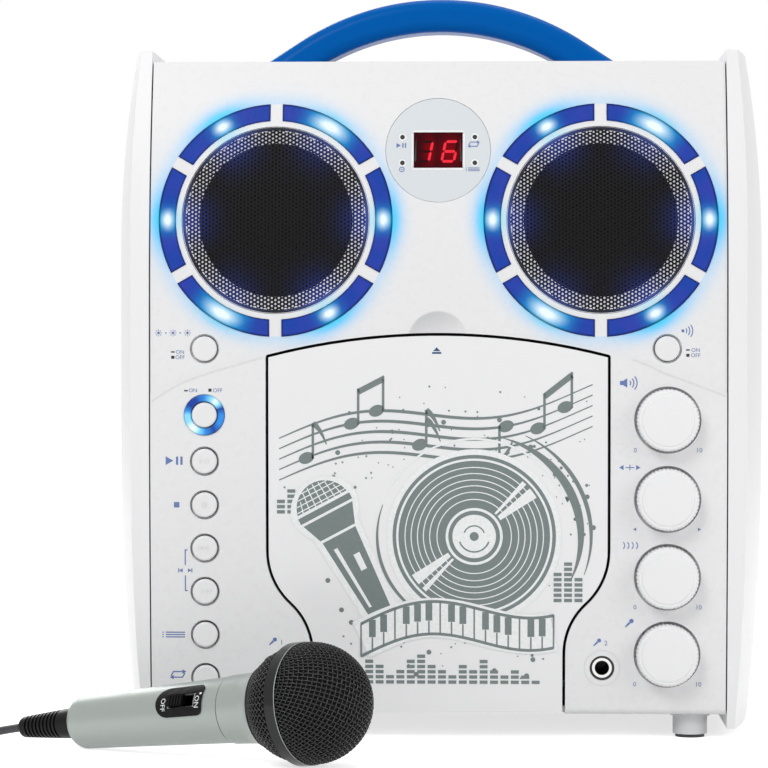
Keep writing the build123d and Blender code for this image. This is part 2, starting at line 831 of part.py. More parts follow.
cone_profile = [
    (surround_r, rim_front),
    (surround_r, rim_front + cone_t),
    (surround_r - surround_w, flange_back + cone_t),
    (neck_out, cone_back + cone_t),
    (neck_out, cone_back + coil_l),
    (neck_in, cone_back + coil_l),
    (neck_in, cone_back + cone_t),
    (0, cone_back - cap_rise + cone_t),
    (0, cone_back - cap_rise),
    (neck_out, cone_back),
    (surround_r - surround_w, flange_back),
]

for name, side in sides.items():
    place = (side * speaker_x, speaker_z)
    with BuildPart() as speaker_grille:
        disc_y(place, grille_r, -reach, driver_seat)
        keep_skin(fascia_step + grille_sink, grille_back)
    write(f"speaker_grille_{name}", speaker_grille, black)
    with BuildPart() as light_lenses:
        with BuildSketch(front_plane(face_y - reach)):
            with Locations(place):
                ring_segments(-slack / 2)
        extrude(amount=-reach - driver_seat)
        keep_skin(fascia_step - ring_proud, skin_depth)
    write(f"light_lenses_{name}", light_lenses, blue)
    with BuildPart() as speaker_driver:
        turned_y(place, basket_profile)
    write(f"speaker_driver_{name}", speaker_driver, steel)
    with BuildPart() as speaker_cone:
        turned_y(place, cone_profile)
    write(f"speaker_cone_{name}", speaker_cone, grey)

with BuildPart() as light_boards:
    board_back = driver_seat - slack
    collar_r = grille_r + slack + collar_t
    for place in speaker_places:
        tube_y(place, light_board_r, collar_r + slack, board_back - light_board_t, board_back)
        with BuildSketch(front_plane(face_y + board_back - light_board_t)):
            with Locations(place):
                with PolarLocations((ring_in_r + ring_out_r) / 2, ring_count):
                    Rectangle(led_size, led_size)
        extrude(amount=led_h)


# ------------------------------------------------------------------ display

plate_in = fascia_step + display_sink
with BuildPart() as display_plate:
    disc_y((0, display_z), display_r - slack / 2, -reach, driver_seat)
    keep_skin(plate_in, plate_in + plate_t)
    block_y((0, display_z), window_w, window_h, -reach, driver_seat, mode=Mode.SUBTRACT)

with BuildPart() as display_window:
    block_y((0, display_z), window_w - slack, window_h - slack, -reach, driver_seat)
    keep_skin(plate_in + slack, plate_in + plate_t)

with BuildPart() as display_module:
    module_back = module_depth + module_t
    block_y((0, display_z), window_w + module_margin, window_h + module_margin, module_depth, module_back)
    block_y((0, display_z), display_board_w, display_board_h, module_back, module_back + board_t)


# ------------------------------------------------------------------ buttons

def push_button(place):
    """Button cap with its stem, which reaches into the switch behind it."""
    front = depth_at(place[1]) - button_proud
    if place[1] > crease_side_z:
        front += fascia_step
    back = front + button_cap_t
    disc_y(place, button_r, front, back)
    fillet(faces().sort_by(Axis.Y)[0].edges(), radius=button_edge_r)
    disc_y(place, stem_r, back, board_seat - switch_t + stem_engage)


for name, height in left_buttons.items():
    with BuildPart() as button:
        push_button((-button_x, height))
    write(name, button, white)

with BuildPart() as avc_button:
    push_button((avc_x, avc_z))

with BuildPart() as power_light_ring:
    power_front = depth_at(power_place[1]) - power_ring_proud
    tube_y(power_place, power_ring_r, power_ring_in_r, power_front, depth_at(power_place[1]) + wall)
    front_rims = power_light_ring.faces().sort_by(Axis.Y)[0].edges()
    fillet(front_rims, radius=power_ring_proud - slack / 2)


# ------------------------------------------------------------------ knobs

for name, height in knobs.items():
    place = (knob_x, height)
    knob_front = depth_at(height) - knob_proud
    knob_back = depth_at(height) + knob_sink
    with BuildPart() as knob:
        disc_y(place, knob_r, knob_front, knob_back)
        fillet(knob.faces().sort_by(Axis.Y)[0].edges(), radius=knob_edge_r)
        disc_y(place, knob_crown_r, knob_front - knob_crown_h, knob_front)
        disc_y(place, shaft_r, knob_back, board_seat - pot_t + shaft_engage)
    write(name, knob, white)

with BuildPart() as control_boards:
    board_h = board_top - board_bottom
    for side in sides.values():
        place = (side * knob_x, (board_top + board_bottom) / 2)
        block_y(place, 2 * board_half_w, board_h, board_seat, board_seat + board_t)
    for place in button_places:
        block_y(place, switch_size, switch_size, board_seat - switch_t, board_seat)
        disc_y(place, stem_r + slack, board_seat - switch_t, board_seat, mode=Mode.SUBTRACT)
    for place in knob_places:
        block_y(place, pot_size, pot_size, board_seat - pot_t, board_seat)
        bushing_front = depth_at(place[1]) + knob_sink + bushing_gap
        disc_y(place, bushing_r, bushing_front, board_seat - pot_t)
        disc_y(place, shaft_r + run_gap, 0, board_seat - pot_t + shaft_engage + slack, mode=Mode.SUBTRACT)


# ------------------------------------------------------------------ microphone sockets

jack_front = depth_at(jack_z) + jack_dish_depth - slack
nut_back = jack_front + jack_nut_t
with BuildPart() as jack_nuts:
    for place in jack_places:
        tube_y(place, jack_nut_r, jack_bore_r, jack_front - slack, nut_back)

with BuildPart() as mic_jacks:
    body_front = depth_at(jack_z - jack_body_h / 2) + skin_depth + slack
    for place in jack_places:
        disc_y(place, jack_collar_r, jack_front, body_front)
        block_y(place, jack_body_w, jack_body_h, body_front, nut_back + jack_bore_l + wall)
        disc_y(place, jack_nut_r, jack_front, nut_back, mode=Mode.SUBTRACT)
        disc_y(place, jack_bore_r, jack_front, nut_back + jack_bore_l, mode=Mode.SUBTRACT)


# ------------------------------------------------------------------ disc compartment

hinge_line = (hinge_y, hinge_z)
bracket_t = door_neck_half_w - ear_x - ear_t / 2 - 2 * slack
bracket_x = ear_x + ear_t / 2 + slack + bracket_t / 2

with BuildPart() as disc_well:
    outside = door_outline(front_plane(face_y - reach), door_gap + well_t, well_floor_z)
    extrude(outside, amount=-reach - well_depth - well_t)
    inside = door_outline(front_plane(face_y - 2 * reach), door_gap, well_floor_z)
    extrude(inside, amount=-2 * reach - well_depth, mode=Mode.SUBTRACT)
    behind_panel = side_profile(skin_depth + slack, split_y)
    extrude(behind_panel, amount=body_half_w, both=True, mode=Mode.INTERSECT)
    # way through for the platter's spindle and the optical head
    disc_y((0, disc_z), platter_r / 2, well_depth - reach, deck_depth, mode=Mode.SUBTRACT)
    slot_l = lens_travel + 2 * slot_margin
    slot_x = lens_near + lens_travel / 2
    block_y((slot_x, disc_z), slot_l, 2 * slot_half_h, well_depth - reach, deck_depth, mode=Mode.SUBTRACT)
    # hinge brackets under the floor
    bracket_back = face_y + well_depth + well_t
    for side in sides.values():
        with BuildSketch(Plane.YZ.offset(side * bracket_x - bracket_t / 2)):
            with Locations(hinge_line):
                Circle(ear_r)
            with Locations(((hinge_y + bracket_back) / 2, (hinge_z - ear_r + well_floor_z - door_gap) / 2)):
                Rectangle(bracket_back - hinge_y, well_floor_z - door_gap - hinge_z + ear_r)
        extrude(amount=bracket_t)
        with BuildSketch(Plane.YZ.offset(side * bracket_x - bracket_t / 2)):
            with Locations(hinge_line):
                Circle(hinge_pin_r + run_gap / 2)
        extrude(amount=bracket_t, mode=Mode.SUBTRACT)

with BuildPart() as door_hinge_pins:
    for side in sides.values():
        pin_start = side * (ear_x - ear_t / 2)
        with BuildSketch(Plane.YZ.offset(pin_start)):
            with Locations(hinge_line):
                Circle(hinge_pin_r)
        extrude(amount=side * hinge_pin_l)

with BuildPart() as disc_door:
    extrude(door_outline(front_plane(face_y - reach), 0, door_bottom), amount=-reach - door_reach)
    keep_skin(0, wall)
    # ring that holds the disc clamp
    boss_in_r = clamp_r + 2 * slack
    boss_r = boss_in_r + clamp_boss_t
    lip_back = clamp_lip_depth + clamp_lip_t
    tube_y((0, disc_z), boss_r, boss_in_r, wall, clamp_lip_depth)
    tube_y((0, disc_z), boss_r, clamp_nose_r + 2 * slack, clamp_lip_depth, lip_back)
    # hook that the latch holds
    block_y((0, hook_z), hook_w, hook_t, wall / 2, hook_l)
    block_y((0, hook_z + hook_t / 2), hook_w, hook_t, hook_l - hook_t, hook_l)
    # hinge ears
    ear_front = face_at(hinge_z + ear_r, wall / 2)
    for side in sides.values():
        with BuildSketch(Plane.YZ.offset(side * ear_x - ear_t / 2)):
            with Locations(hinge_line):
                Circle(ear_r)
            with Locations(((ear_front + hinge_y) / 2, hinge_z)):
                Rectangle(hinge_y - ear_front, 2 * ear_r)
        extrude(amount=ear_t)
        with BuildSketch(Plane.YZ.offset(side * ear_x - ear_t / 2)):
            with Locations(hinge_line):
                Circle(hinge_pin_r + run_gap)
        extrude(amount=ear_t, mode=Mode.SUBTRACT)

with BuildPart() as disc_clamp:
    nose_back = platter_depth - disc_t - slack
    disc_y((0, disc_z), clamp_r, clamp_depth, clamp_depth + clamp_t)
    tube_y((0, disc_z), clamp_nose_r, clamp_nose_in_r, clamp_depth + clamp_t, nose_back)

with BuildPart() as door_latch:
    latch_front = hook_l - 2 * hook_t
    latch_top = hook_z + 2 * hook_t
    block_y((0, (latch_top + hook_z - 2 * hook_t) / 2), 2 * hook_w, latch_top - hook_z + 2 * hook_t,
            latch_front, well_depth)
    block_y((0, hook_z + hook_t / 2), hook_w + 4 * slack, 2 * hook_t + 4 * slack,
            latch_front, hook_l + 2 * hook_t, mode=Mode.SUBTRACT)

with BuildPart() as turntable:
    disc_y((0, disc_z), platter_r, platter_depth, platter_depth + platter_t)
    disc_y((0, disc_z), disc_hole_r - slack / 2, platter_depth - hub_l, platter_depth)
    chamfer(turntable.faces().sort_by(Axis.Y)[0].edges(), length=hub_l / 4)
    disc_y((0, disc_z), spindle_r, platter_depth + platter_t, platter_depth + spindle_l)

deck_back = deck_depth + deck_t
gear_pitch_r = gear_teeth * gear_module / 2
gear_z = disc_z - sled_half_h - 2 * gear_module - gear_pitch_r
rail_depth = sled_depth + sled_t / 2

with BuildPart() as disc_deck:
    deck_place = ((deck_left + deck_right) / 2, disc_z)
    block_y(deck_place, deck_right - deck_left, 2 * deck_half_h, deck_depth, deck_back)
    disc_y((0, disc_z), spindle_r * 3, deck_depth, deck_back, mode=Mode.SUBTRACT)
    block_y((slot_x, disc_z), slot_l, 2 * slot_half_h, deck_depth, deck_back, mode=Mode.SUBTRACT)
    # pads that seat the deck on the compartment's rear wall
    for x in (deck_left + reach, deck_right - 2 * reach):
        for dz in (-deck_half_h + reach, deck_half_h - reach):
            disc_y((x, disc_z + dz), post_r, well_depth + well_t, deck_depth)
    # lugs that hold the rails
    for x in (rail_left + lug_t / 2, rail_right - lug_t / 2):
        for dz in (-rail_dz, rail_dz):
            block_y((x, disc_z + dz), lug_t, lug_h, deck_back, rail_depth + rail_r + slack)
            with BuildSketch(Plane.YZ.offset(x - lug_t)):
                with Locations((face_y + rail_depth, disc_z + dz)):
                    Circle(rail_r + run_gap / 2)
            extrude(amount=2 * lug_t, mode=Mode.SUBTRACT)
    # posts and shaft hole of the sled motor
    for dx in (-sled_motor_post_dx, sled_motor_post_dx):
        disc_y((gear_x + dx, gear_z), post_r, deck_back, sled_depth + sled_t)
    disc_y((gear_x, gear_z), gear_shaft_r + run_gap, deck_depth, deck_back, mode=Mode.SUBTRACT)

with BuildPart() as sled_rails:
    for dz in (-rail_dz, rail_dz):
        with BuildSketch(Plane.YZ.offset(rail_left)):
            with Locations((face_y + rail_depth, disc_z + dz)):
                Circle(rail_r)
        extrude(amount=rail_right - rail_left)

with BuildPart() as deck_motors:
    disc_y((0, disc_z), motor_r, deck_back, deck_back + motor_l)
    disc_y((0, disc_z), spindle_r + run_gap, deck_back, deck_back + motor_l - deck_t, mode=Mode.SUBTRACT)
    sled_motor_front = sled_depth + sled_t
    block_y((gear_x, gear_z), 2 * (sled_motor_post_dx + post_r), 2 * post_r,
            sled_motor_front, sled_motor_front + deck_t)
    disc_y((gear_x, gear_z), sled_motor_r, sled_motor_front + deck_t, sled_motor_front + sled_motor_l)
    disc_y((gear_x, gear_z), gear_shaft_r, deck_depth, sled_motor_front)

rack_left = gear_x - lens_travel - 2 * gear_module
rack_right = gear_x + 2 * gear_module
tooth_pitch = math.pi * gear_module
tooth_half = tooth_pitch / 4 - gear_backlash
flank_slope = math.tan(math.radians(gear_angle))
with BuildPart() as optical_sled:
    sled_l = sled_left + sled_right
    sled_x = lens_near + (sled_right - sled_left) / 2
    block_y((sled_x, disc_z), sled_l, 2 * sled_half_h, sled_depth, sled_depth + sled_t)
    block_y((lens_near, disc_z), 2 * tower_half, 2 * tower_half, tower_front, sled_depth)
    disc_y((lens_near, disc_z), lens_r, tower_front - gear_module / 2, tower_front)
    for dz in (-rail_dz, rail_dz):
        with BuildSketch(Plane.YZ.offset(sled_x - sled_l)):
            with Locations((face_y + rail_depth, disc_z + dz)):
                Circle(rail_r + run_gap)
        extrude(amount=2 * sled_l, mode=Mode.SUBTRACT)
    # rack along the lower edge, in mesh with the gear
    rack_line_z = gear_z + gear_pitch_r
    root_z = rack_line_z + gear_root * gear_module
    with BuildSketch(front_plane(face_y + sled_depth)):
        with Locations(((rack_left + rack_right) / 2, (root_z + disc_z - sled_half_h + gear_module / 2) / 2)):
            Rectangle(rack_right - rack_left, disc_z - sled_half_h + gear_module / 2 - root_z)
        half_root = tooth_half + gear_root * gear_module * flank_slope
        half_tip = tooth_half - gear_tip * gear_module * flank_slope
        tip_z = rack_line_z - gear_tip * gear_module
        first = math.ceil((rack_left - gear_x) / tooth_pitch)
        last = math.floor((rack_right - gear_x) / tooth_pitch)
        for tooth in range(first, last):
            x = gear_x + (tooth + 0.5) * tooth_pitch
            with BuildLine():
                Polyline((x - half_root, root_z), (x - half_tip, tip_z), (x + half_tip, tip_z),
                         (x + half_root, root_z), close=True)
            make_face()
    extrude(amount=-sled_t)

with BuildPart() as sled_gear:
    with BuildSketch(front_plane(face_y + rail_depth - gear_t / 2)):
        with Locations((gear_x, gear_z)):
            Circle(gear_pitch_r - gear_root * gear_module)
            inner = -1.5 * gear_module
            outer = gear_tip * gear_module
            with PolarLocations(gear_pitch_r, gear_teeth, start_angle=90):
                Polygon((inner, -tooth_half), (0, -tooth_half), (outer, -tooth_half / 2),
                        (outer, tooth_half / 2), (0, tooth_half), (inner, tooth_half), align=None)
            Circle(gear_shaft_r + run_gap, mode=Mode.SUBTRACT)
    extrude(amount=-gear_t)


# ------------------------------------------------------------------ electronics in the rear

with BuildPart() as main_board:
    board_front = rear_in - main_board_gap - board_t
    board_place = (0, (main_board_bottom + main_board_top) / 2)
    block_y(board_place, 2 * main_board_half_w, main_board_top - main_board_bottom,
            board_front, board_front + board_t)
    for dx in (-3 * chip_size, -chip_size, chip_size, 3 * chip_size):
        block_y((dx, board_place[1]), chip_size, chip_size, board_front + board_t, board_front + 2 * board_t)

with BuildPart() as power_transformer:
    transformer_x = body_half_w - wall - transformer_w
    with Locations((transformer_x, 0, body_bottom + wall + transformer_h / 2)):
        Box(transformer_w, transformer_d, transformer_h)
    top_edges = power_transformer.edges().filter_by(Axis.Z)
    chamfer(top_edges, length=wall)

with BuildPart() as rear_sockets:
    plate_front = rear_out - wall / 2
    block_y((0, socket_z), socket_plate_w, socket_plate_h, plate_front, plate_front + socket_plate_t)
    for socket in range(phono_count):
        place = ((socket - phono_count / 2) * phono_pitch, socket_z)
        disc_y(place, phono_r, plate_front + socket_plate_t, plate_front + socket_plate_t + phono_l)
        disc_y(place, phono_r / 2, plate_front, plate_front + socket_plate_t + phono_l, mode=Mode.SUBTRACT)
    inlet_place = (socket_plate_w / 2 - inlet_w, socket_z)
    block_y(inlet_place, inlet_w + wall, inlet_h + wall, plate_front - inlet_depth - wall, plate_front)
    block_y(inlet_place, inlet_w, inlet_h, plate_front - inlet_depth, rear_out + reach, mode=Mode.SUBTRACT)


# ------------------------------------------------------------------ microphone

tail_point = Vector(*mic_tail, mic_tail_r + mic_tail_lift)
head_point = Vector(*mic_head, mic_head_r + mic_head_lift)
mic_axis = (head_point - tail_point).normalized()
head_s = (head_point - tail_point).length
lift = math.radians(switch_lift)
outwards = Vector(0, -math.cos(lift), math.sin(lift))
mic_facing = (outwards - mic_axis * outwards.dot(mic_axis)).normalized()
mic_plane = Plane(origin=tail_point, x_dir=mic_axis, z_dir=mic_axis.cross(mic_facing))
mic_line = Axis(tail_point, mic_axis)


def mic_point(s, r=0.0):
    """Point of the microphone at length s along its axis, r out towards its switch."""
    return tail_point + mic_axis * s + mic_facing * r


def mic_ring(s_from, s_to, outer, inner, mode=Mode.ADD):
    """Round band about the microphone's axis."""
    with BuildSketch(Plane(origin=mic_point(s_from), x_dir=mic_facing, z_dir=mic_axis)) as section:
        Circle(outer)
        if inner:
            Circle(inner, mode=Mode.SUBTRACT)
    extrude(section.sketch, amount=s_to - s_from, mode=mode)


end_rounding = mic_end + mic_end_round
tail_end_r = mic_tail_r - mic_tail_taper
flare_mid = (mic_neck + mic_flare) / 2 + mic_waist_shift
with BuildPart() as mic_handle:
    with BuildSketch(mic_plane):
        with BuildLine():
            Line((mic_end, relief_small_r), (mic_end, mic_end_r))
            round_mid = (mic_end + 0.28 * mic_end_round, mic_end_r + 0.65 * (tail_end_r - mic_end_r))
            ThreePointArc((mic_end, mic_end_r), round_mid, (end_rounding, tail_end_r))
            Line((end_rounding, tail_end_r), (mic_seam, mic_seam_r))
            Line((mic_seam, mic_seam_r), (mic_seam, mic_seam_r + mic_seam_step))
            Line((mic_seam, mic_seam_r + mic_seam_step), (mic_neck, mic_neck_r))
            ThreePointArc((mic_neck, mic_neck_r), (flare_mid, mic_waist_r), (mic_flare, mic_flare_r))
            Polyline(
                (mic_flare, mic_flare_r),
                (mic_flare, mic_flare_r - mic_shell),
                (mic_neck, mic_neck_r - mic_shell),
                (mic_seam, mic_seam_r - mic_shell),
                (end_rounding, mic_tail_r - mic_shell),
                (mic_end + mic_shell, relief_small_r),
                (mic_end, relief_small_r),
            )
        make_face()
    revolve(axis=mic_line)
    # seam between handle and neck
    seam_cut = mic_shell / 5
    seam_in_r = mic_seam_r - seam_cut
    mic_ring(mic_seam, mic_seam + 2 * seam_cut, mic_neck_r, seam_in_r, mode=Mode.SUBTRACT)
    # slot of the switch
    with BuildSketch(Plane(origin=mic_point(switch_s), x_dir=mic_axis, z_dir=mic_facing)):
        Rectangle(slider_l + switch_travel + 2 * slack, slider_w + 2 * slack)
    extrude(amount=2 * mic_neck_r, mode=Mode.SUBTRACT)

with BuildPart() as mic_switch:
    slider_s = switch_s - switch_travel / 2
    slider_base = mic_tail_r + (mic_seam_r - mic_tail_r) * switch_s / mic_seam - mic_shell
    slider_top = slider_base + mic_shell + slider_h / 2
    with BuildSketch(Plane(origin=mic_point(slider_s, slider_base), x_dir=mic_axis, z_dir=mic_facing)):
        Rectangle(slider_l, slider_w)
    extrude(amount=slider_top - slider_base)
    # grip ribs across the slider
    with BuildSketch(Plane(origin=mic_point(slider_s, slider_top), x_dir=mic_axis, z_dir=mic_facing)):
        with GridLocations(slider_l / 5, 1, 5, 1):
            Rectangle(slider_l / 12, slider_w - slack)
    extrude(amount=slider_h / 4)

band_s = head_s - mic_band_back
band_from = band_s - mic_band_half
band_to = band_s + mic_band_half
mesh_r = mic_head_r - slack
with BuildPart() as mic_collar:
    mic_ring(band_from, band_to, mic_head_r, mic_head_r - mic_band_t)

with BuildPart() as mic_grille:
    shell_r = mesh_r - mic_mesh_t
    with BuildSketch(mic_plane):
        with BuildLine():
            front_r = math.sqrt(mesh_r ** 2 - (head_s - band_to) ** 2)
            front_in_r = math.sqrt(shell_r ** 2 - (head_s - band_to) ** 2)
            half = math.sqrt(0.5)
            outer_mid = (head_s + mesh_r * half, mesh_r * half)
            ThreePointArc((band_to, front_r), outer_mid, (head_s + mesh_r, 0))
            Line((head_s + mesh_r, 0), (head_s + shell_r, 0))
            inner_mid = (head_s + shell_r * half, shell_r * half)
            ThreePointArc((head_s + shell_r, 0), inner_mid, (band_to, front_in_r))
            Line((band_to, front_in_r), (band_to, front_r))
        make_face()
    revolve(axis=mic_line)
    with BuildSketch(mic_plane):
        with BuildLine():
            rear_s = mic_flare + slack
            rear_mid_s = (rear_s + band_from) / 2 - mic_mesh_swell
            rear_mid = (rear_mid_s, (mic_mesh_rear_r + front_r) / 2 + mic_mesh_swell)
            ThreePointArc((rear_s, mic_mesh_rear_r), rear_mid, (band_from, front_r))
            Line((band_from, front_r), (band_from, front_r - mic_mesh_t))
            ThreePointArc(
                (band_from, front_r - mic_mesh_t),
                (rear_mid[0], rear_mid[1] - mic_mesh_t),
                (rear_s, mic_mesh_rear_r - mic_mesh_t),
            )
            Line((rear_s, mic_mesh_rear_r - mic_mesh_t), (rear_s, mic_mesh_rear_r))
        make_face()
    revolve(axis=mic_line)

with BuildPart() as mic_capsule:
    capsule_from = mic_flare - mic_shell
    mic_ring(capsule_from, capsule_from + capsule_l, capsule_r, 0)

relief_tip = mic_end - relief_l
with BuildPart() as mic_strain_relief:
    rib_pitch = (relief_l - 2 * relief_small_r) / (relief_ribs + 1)
    groove = rib_pitch / 4
    with BuildSketch(mic_plane):
        with BuildLine():
            tip_round = relief_small_r - relief_tip_r
            tip_start = relief_tip + tip_round
            half = math.sqrt(0.5)
            tip_mid = (tip_start - tip_round * half, relief_tip_r + tip_round * half)
            Line((relief_tip, 0), (relief_tip, relief_tip_r))
            ThreePointArc((relief_tip, relief_tip_r), tip_mid, (tip_start, relief_small_r))
            Line((tip_start, relief_small_r), (mic_end, relief_big_r))
            Polyline(
                (mic_end, relief_big_r),
                (mic_end, relief_small_r - slack),
                (mic_end + relief_small_r, relief_small_r - slack),
                (mic_end + relief_small_r, 0),
                (relief_tip, 0),
            )
        make_face()
    revolve(axis=mic_line)
    for rib in range(1, relief_ribs + 1):
        s = tip_start + rib * rib_pitch
        r = relief_small_r + (relief_big_r - relief_small_r) * (s - tip_start) / (mic_end - tip_start)
        mic_ring(s, s + 2 * groove, relief_big_r + groove, r - groove, mode=Mode.SUBTRACT)


# ------------------------------------------------------------------ cord, coil and plug

cord_r = cord_d / 2
coil_r_mean = coil_mean_d / 2
coil_width = coil_columns * cord_d
coil_height = cord_d * (1 + (coil_layers - 1) * math.sqrt(0.75))
outer_turn_r = coil_r_mean + coil_width / 2 - cord_r


def on_outer_turn(angle):
    """Point of the coil's outer turn on the floor."""
    turn = math.radians(angle)
    return (coil_x + outer_turn_r * math.cos(turn), coil_y + outer_turn_r * math.sin(turn), cord_r)


lead_in = [
    tuple(mic_point(relief_tip)),
    (-189.8, -109.0, 5.2),
    (-200.6, -102.6, 2.3),
    (-213.5, -95.6, cord_r),
    (-227.0, -88.8, cord_r),
    (-239.5, -82.6, cord_r),
    on_outer_turn(lead_in_turn),
]
lead_out = [
    on_outer_turn(lead_out_turn),
    (-268.0, -57.6, 2.4),
    (-271.9, -49.0, 4.4),
    (*plug_start, plug_barrel_r),
]


def bend_radii(route):
    """Radius of each bend: as large as its two runs allow."""
    radii = []
    for before, here, after in zip(route, route[1:], route[2:]):
        arriving = Vector(*here) - Vector(*before)
        leaving = Vector(*after) - Vector(*here)
        half_turn = math.radians(arriving.get_angle(leaving) / 2)
        radii.append(0.45 * min(arriving.length, leaving.length) / math.tan(half_turn))
    return radii


def cord_tube(route):
    """Round tube along a route of straight runs and tangent arcs."""
    with BuildLine() as centre_line:
        FilletPolyline(*route, radius=bend_radii(route))
    with BuildSketch(Plane(origin=centre_line.line @ 0, z_dir=centre_line.line % 0)) as section:
        Circle(cord_r)
    sweep(section.sketch, path=centre_line.line)
    return sum(edge.length for edge in centre_line.edges())


with BuildPart() as mic_cord:
    lead_in_l = cord_tube(lead_in)
    lead_out_l = cord_tube(lead_out)

coil_turns = (cord_length - lead_in_l - lead_out_l) / (math.pi * coil_mean_d)
print("bend radii", [round(r, 1) for r in bend_radii(lead_in) + bend_radii(lead_out)])
print("cord volume / section x length",
      round(mic_cord.part.volume / (math.pi * cord_r ** 2 * (lead_in_l + lead_out_l)), 4))
print("coil turns", round(coil_turns, 2), "room for", coil_columns * coil_layers)

with BuildPart() as mic_cord_coil:
    with BuildSketch(Plane.XZ.offset(-coil_y)) as coil_section:
        with Locations((coil_x + coil_r_mean, coil_height / 2)):
            RectangleRounded(coil_width, coil_height, cord_r * 0.9)
    revolve(axis=Axis((coil_x, coil_y, 0), (0, 0, 1)))

plug_point = Vector(*plug_start, plug_barrel_r)
plug_dir = Vector(math.cos(math.radians(plug_turn)), math.sin(math.radians(plug_turn)), 0)
plug_plane = Plane(origin=plug_point, x_dir=plug_dir, z_dir=(0, 0, 1))
with BuildPart() as mic_plug:
    barrel_end = plug_boot_l + plug_barrel_l
    pin_end = barrel_end + plug_pin_l
    with BuildSketch(plug_plane):
        with BuildLine():
            Polyline(
                (0, 0),
                (0, (plug_boot_r + cord_r) / 2),
                (plug_boot_l, plug_boot_r),
                (plug_boot_l, plug_barrel_r),
                (barrel_end, plug_barrel_r),
                (barrel_end, plug_pin_r),
                (pin_end - plug_tip_l, plug_pin_r),
                (pin_end - plug_tip_l * 0.8, plug_groove_r),
                (pin_end - plug_tip_l / 2, plug_pin_r),
                (pin_end, plug_nose_r),
                (pin_end, 0),
                (0, 0),
            )
        make_face()
    revolve(axis=Axis(plug_point, plug_dir))


# ------------------------------------------------------------------ write the pieces

write("front_panel", front_panel, white)
write("rear_cabinet", rear_cabinet, white)
write("left_side_panel", left_side_panel, white)
write("right_side_panel", right_side_panel, white)
write("carry_handle", carry_handle, blue)
write("feet", feet, grey)
write("foot_pads", foot_pads, black)
write("cabinet_screws", cabinet_screws, steel)
write("light_boards", light_boards, green)
write("display_plate", display_plate, grey)
write("display_window", display_window, black)
write("display_module", display_module, green)
write("power_light_ring", power_light_ring, blue)
write("disc_well", disc_well, grey)
write("disc_deck", disc_deck, steel)
write("deck_motors", deck_motors, steel)
write("sled_rails", sled_rails, steel)
write("door_hinge_pins", door_hinge_pins, steel)
write("door_latch", door_latch, grey)
write("main_board", main_board, green)
write("power_transformer", power_transformer, steel)
write("control_boards", control_boards, green)
write("mic_jacks", mic_jacks, black)
write("jack_nuts", jack_nuts, steel)
write("rear_sockets", rear_sockets, black)
write("disc_door", disc_door, white)
write("disc_clamp", disc_clamp, grey)
write("turntable", turntable, black)
write("optical_sled", optical_sled, black)
write("sled_gear", sled_gear, white)
write("avc_button", avc_button, white)
write("mic_handle", mic_handle, steel)
write("mic_grille", mic_grille, black)
write("mic_collar", mic_collar, black)
write("mic_capsule", mic_capsule, grey)
write("mic_switch", mic_switch, black)
write("mic_strain_relief", mic_strain_relief, black)
write("mic_cord", mic_cord, black)
write("mic_cord_coil", mic_cord_coil, black)
write("mic_plug", mic_plug, black)
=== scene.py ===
import json
import math
import random

import bmesh
import bpy
from mathutils import Matrix, Vector
from mathutils.bvhtree import BVHTree
from mathutils.geometry import tessellate_polygon


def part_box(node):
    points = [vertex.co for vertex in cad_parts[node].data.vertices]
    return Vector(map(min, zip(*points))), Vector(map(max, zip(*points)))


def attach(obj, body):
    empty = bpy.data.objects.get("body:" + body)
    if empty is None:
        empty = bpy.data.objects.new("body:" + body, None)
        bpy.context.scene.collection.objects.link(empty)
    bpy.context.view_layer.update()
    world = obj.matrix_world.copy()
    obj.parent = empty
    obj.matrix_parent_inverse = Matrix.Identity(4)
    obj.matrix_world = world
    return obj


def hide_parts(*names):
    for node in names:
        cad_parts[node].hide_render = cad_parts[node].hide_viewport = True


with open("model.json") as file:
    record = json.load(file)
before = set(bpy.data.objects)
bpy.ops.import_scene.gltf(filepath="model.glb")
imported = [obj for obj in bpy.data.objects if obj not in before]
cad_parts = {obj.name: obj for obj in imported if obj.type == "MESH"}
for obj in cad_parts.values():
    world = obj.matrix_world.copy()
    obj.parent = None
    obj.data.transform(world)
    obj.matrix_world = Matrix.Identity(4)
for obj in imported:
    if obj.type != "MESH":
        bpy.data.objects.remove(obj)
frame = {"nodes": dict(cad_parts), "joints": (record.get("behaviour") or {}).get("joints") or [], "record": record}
nodes = frame["nodes"]
for default in ("Cube", "Light", "Camera"):
    if default in bpy.data.objects:
        bpy.data.objects.remove(bpy.data.objects[default])
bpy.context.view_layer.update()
scene = bpy.context.scene

MM = 0.001
FRONT = Vector((0, -1, 0))
UP = Vector((0, 0, 1))


# ---------------- places read from the frame, all in millimetres

def middle(node):
    low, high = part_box(node)
    return (low + high) / 2 / MM


def span(node):
    low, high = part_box(node)
    return (high - low) / MM


def place_of(node):
    place = middle(node)
    return place.x, place.z


speaker_x, speaker_z = place_of("speaker_grille_right")
speaker_r = span("speaker_grille_right").x / 2
lens_outer_r = span("light_lenses_right").x / 2
lens_w = 7.7                        # width of the ring of lenses
bridge_w = 5.3                      # between two lenses
power_ring_w = 3.1
display_x, display_z = place_of("display_window")
door_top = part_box("disc_door")[1].z / MM
scoop_r = 13.7                      # the finger hollow over the door
scoop_z = door_top - 2.4

# the digits; places are from the middle of the display
digit_height = 10.0
digit_width = 5.4
digit_bar = 1.2
digit_pitch = 11.1
digit_slant = 0.2
ones_x = 5.1
digit_z = -0.6


def polar(x, z, r, turn):
    """The point at a distance r from x, z, at an angle in radians."""
    return x + r * math.cos(turn), z + r * math.sin(turn)


def sweep(x, z, r, start, end, count):
    """Points round x, z from one angle in degrees to another, both included."""
    return [polar(x, z, r, math.radians(start + (end - start) * i / count)) for i in range(count + 1)]


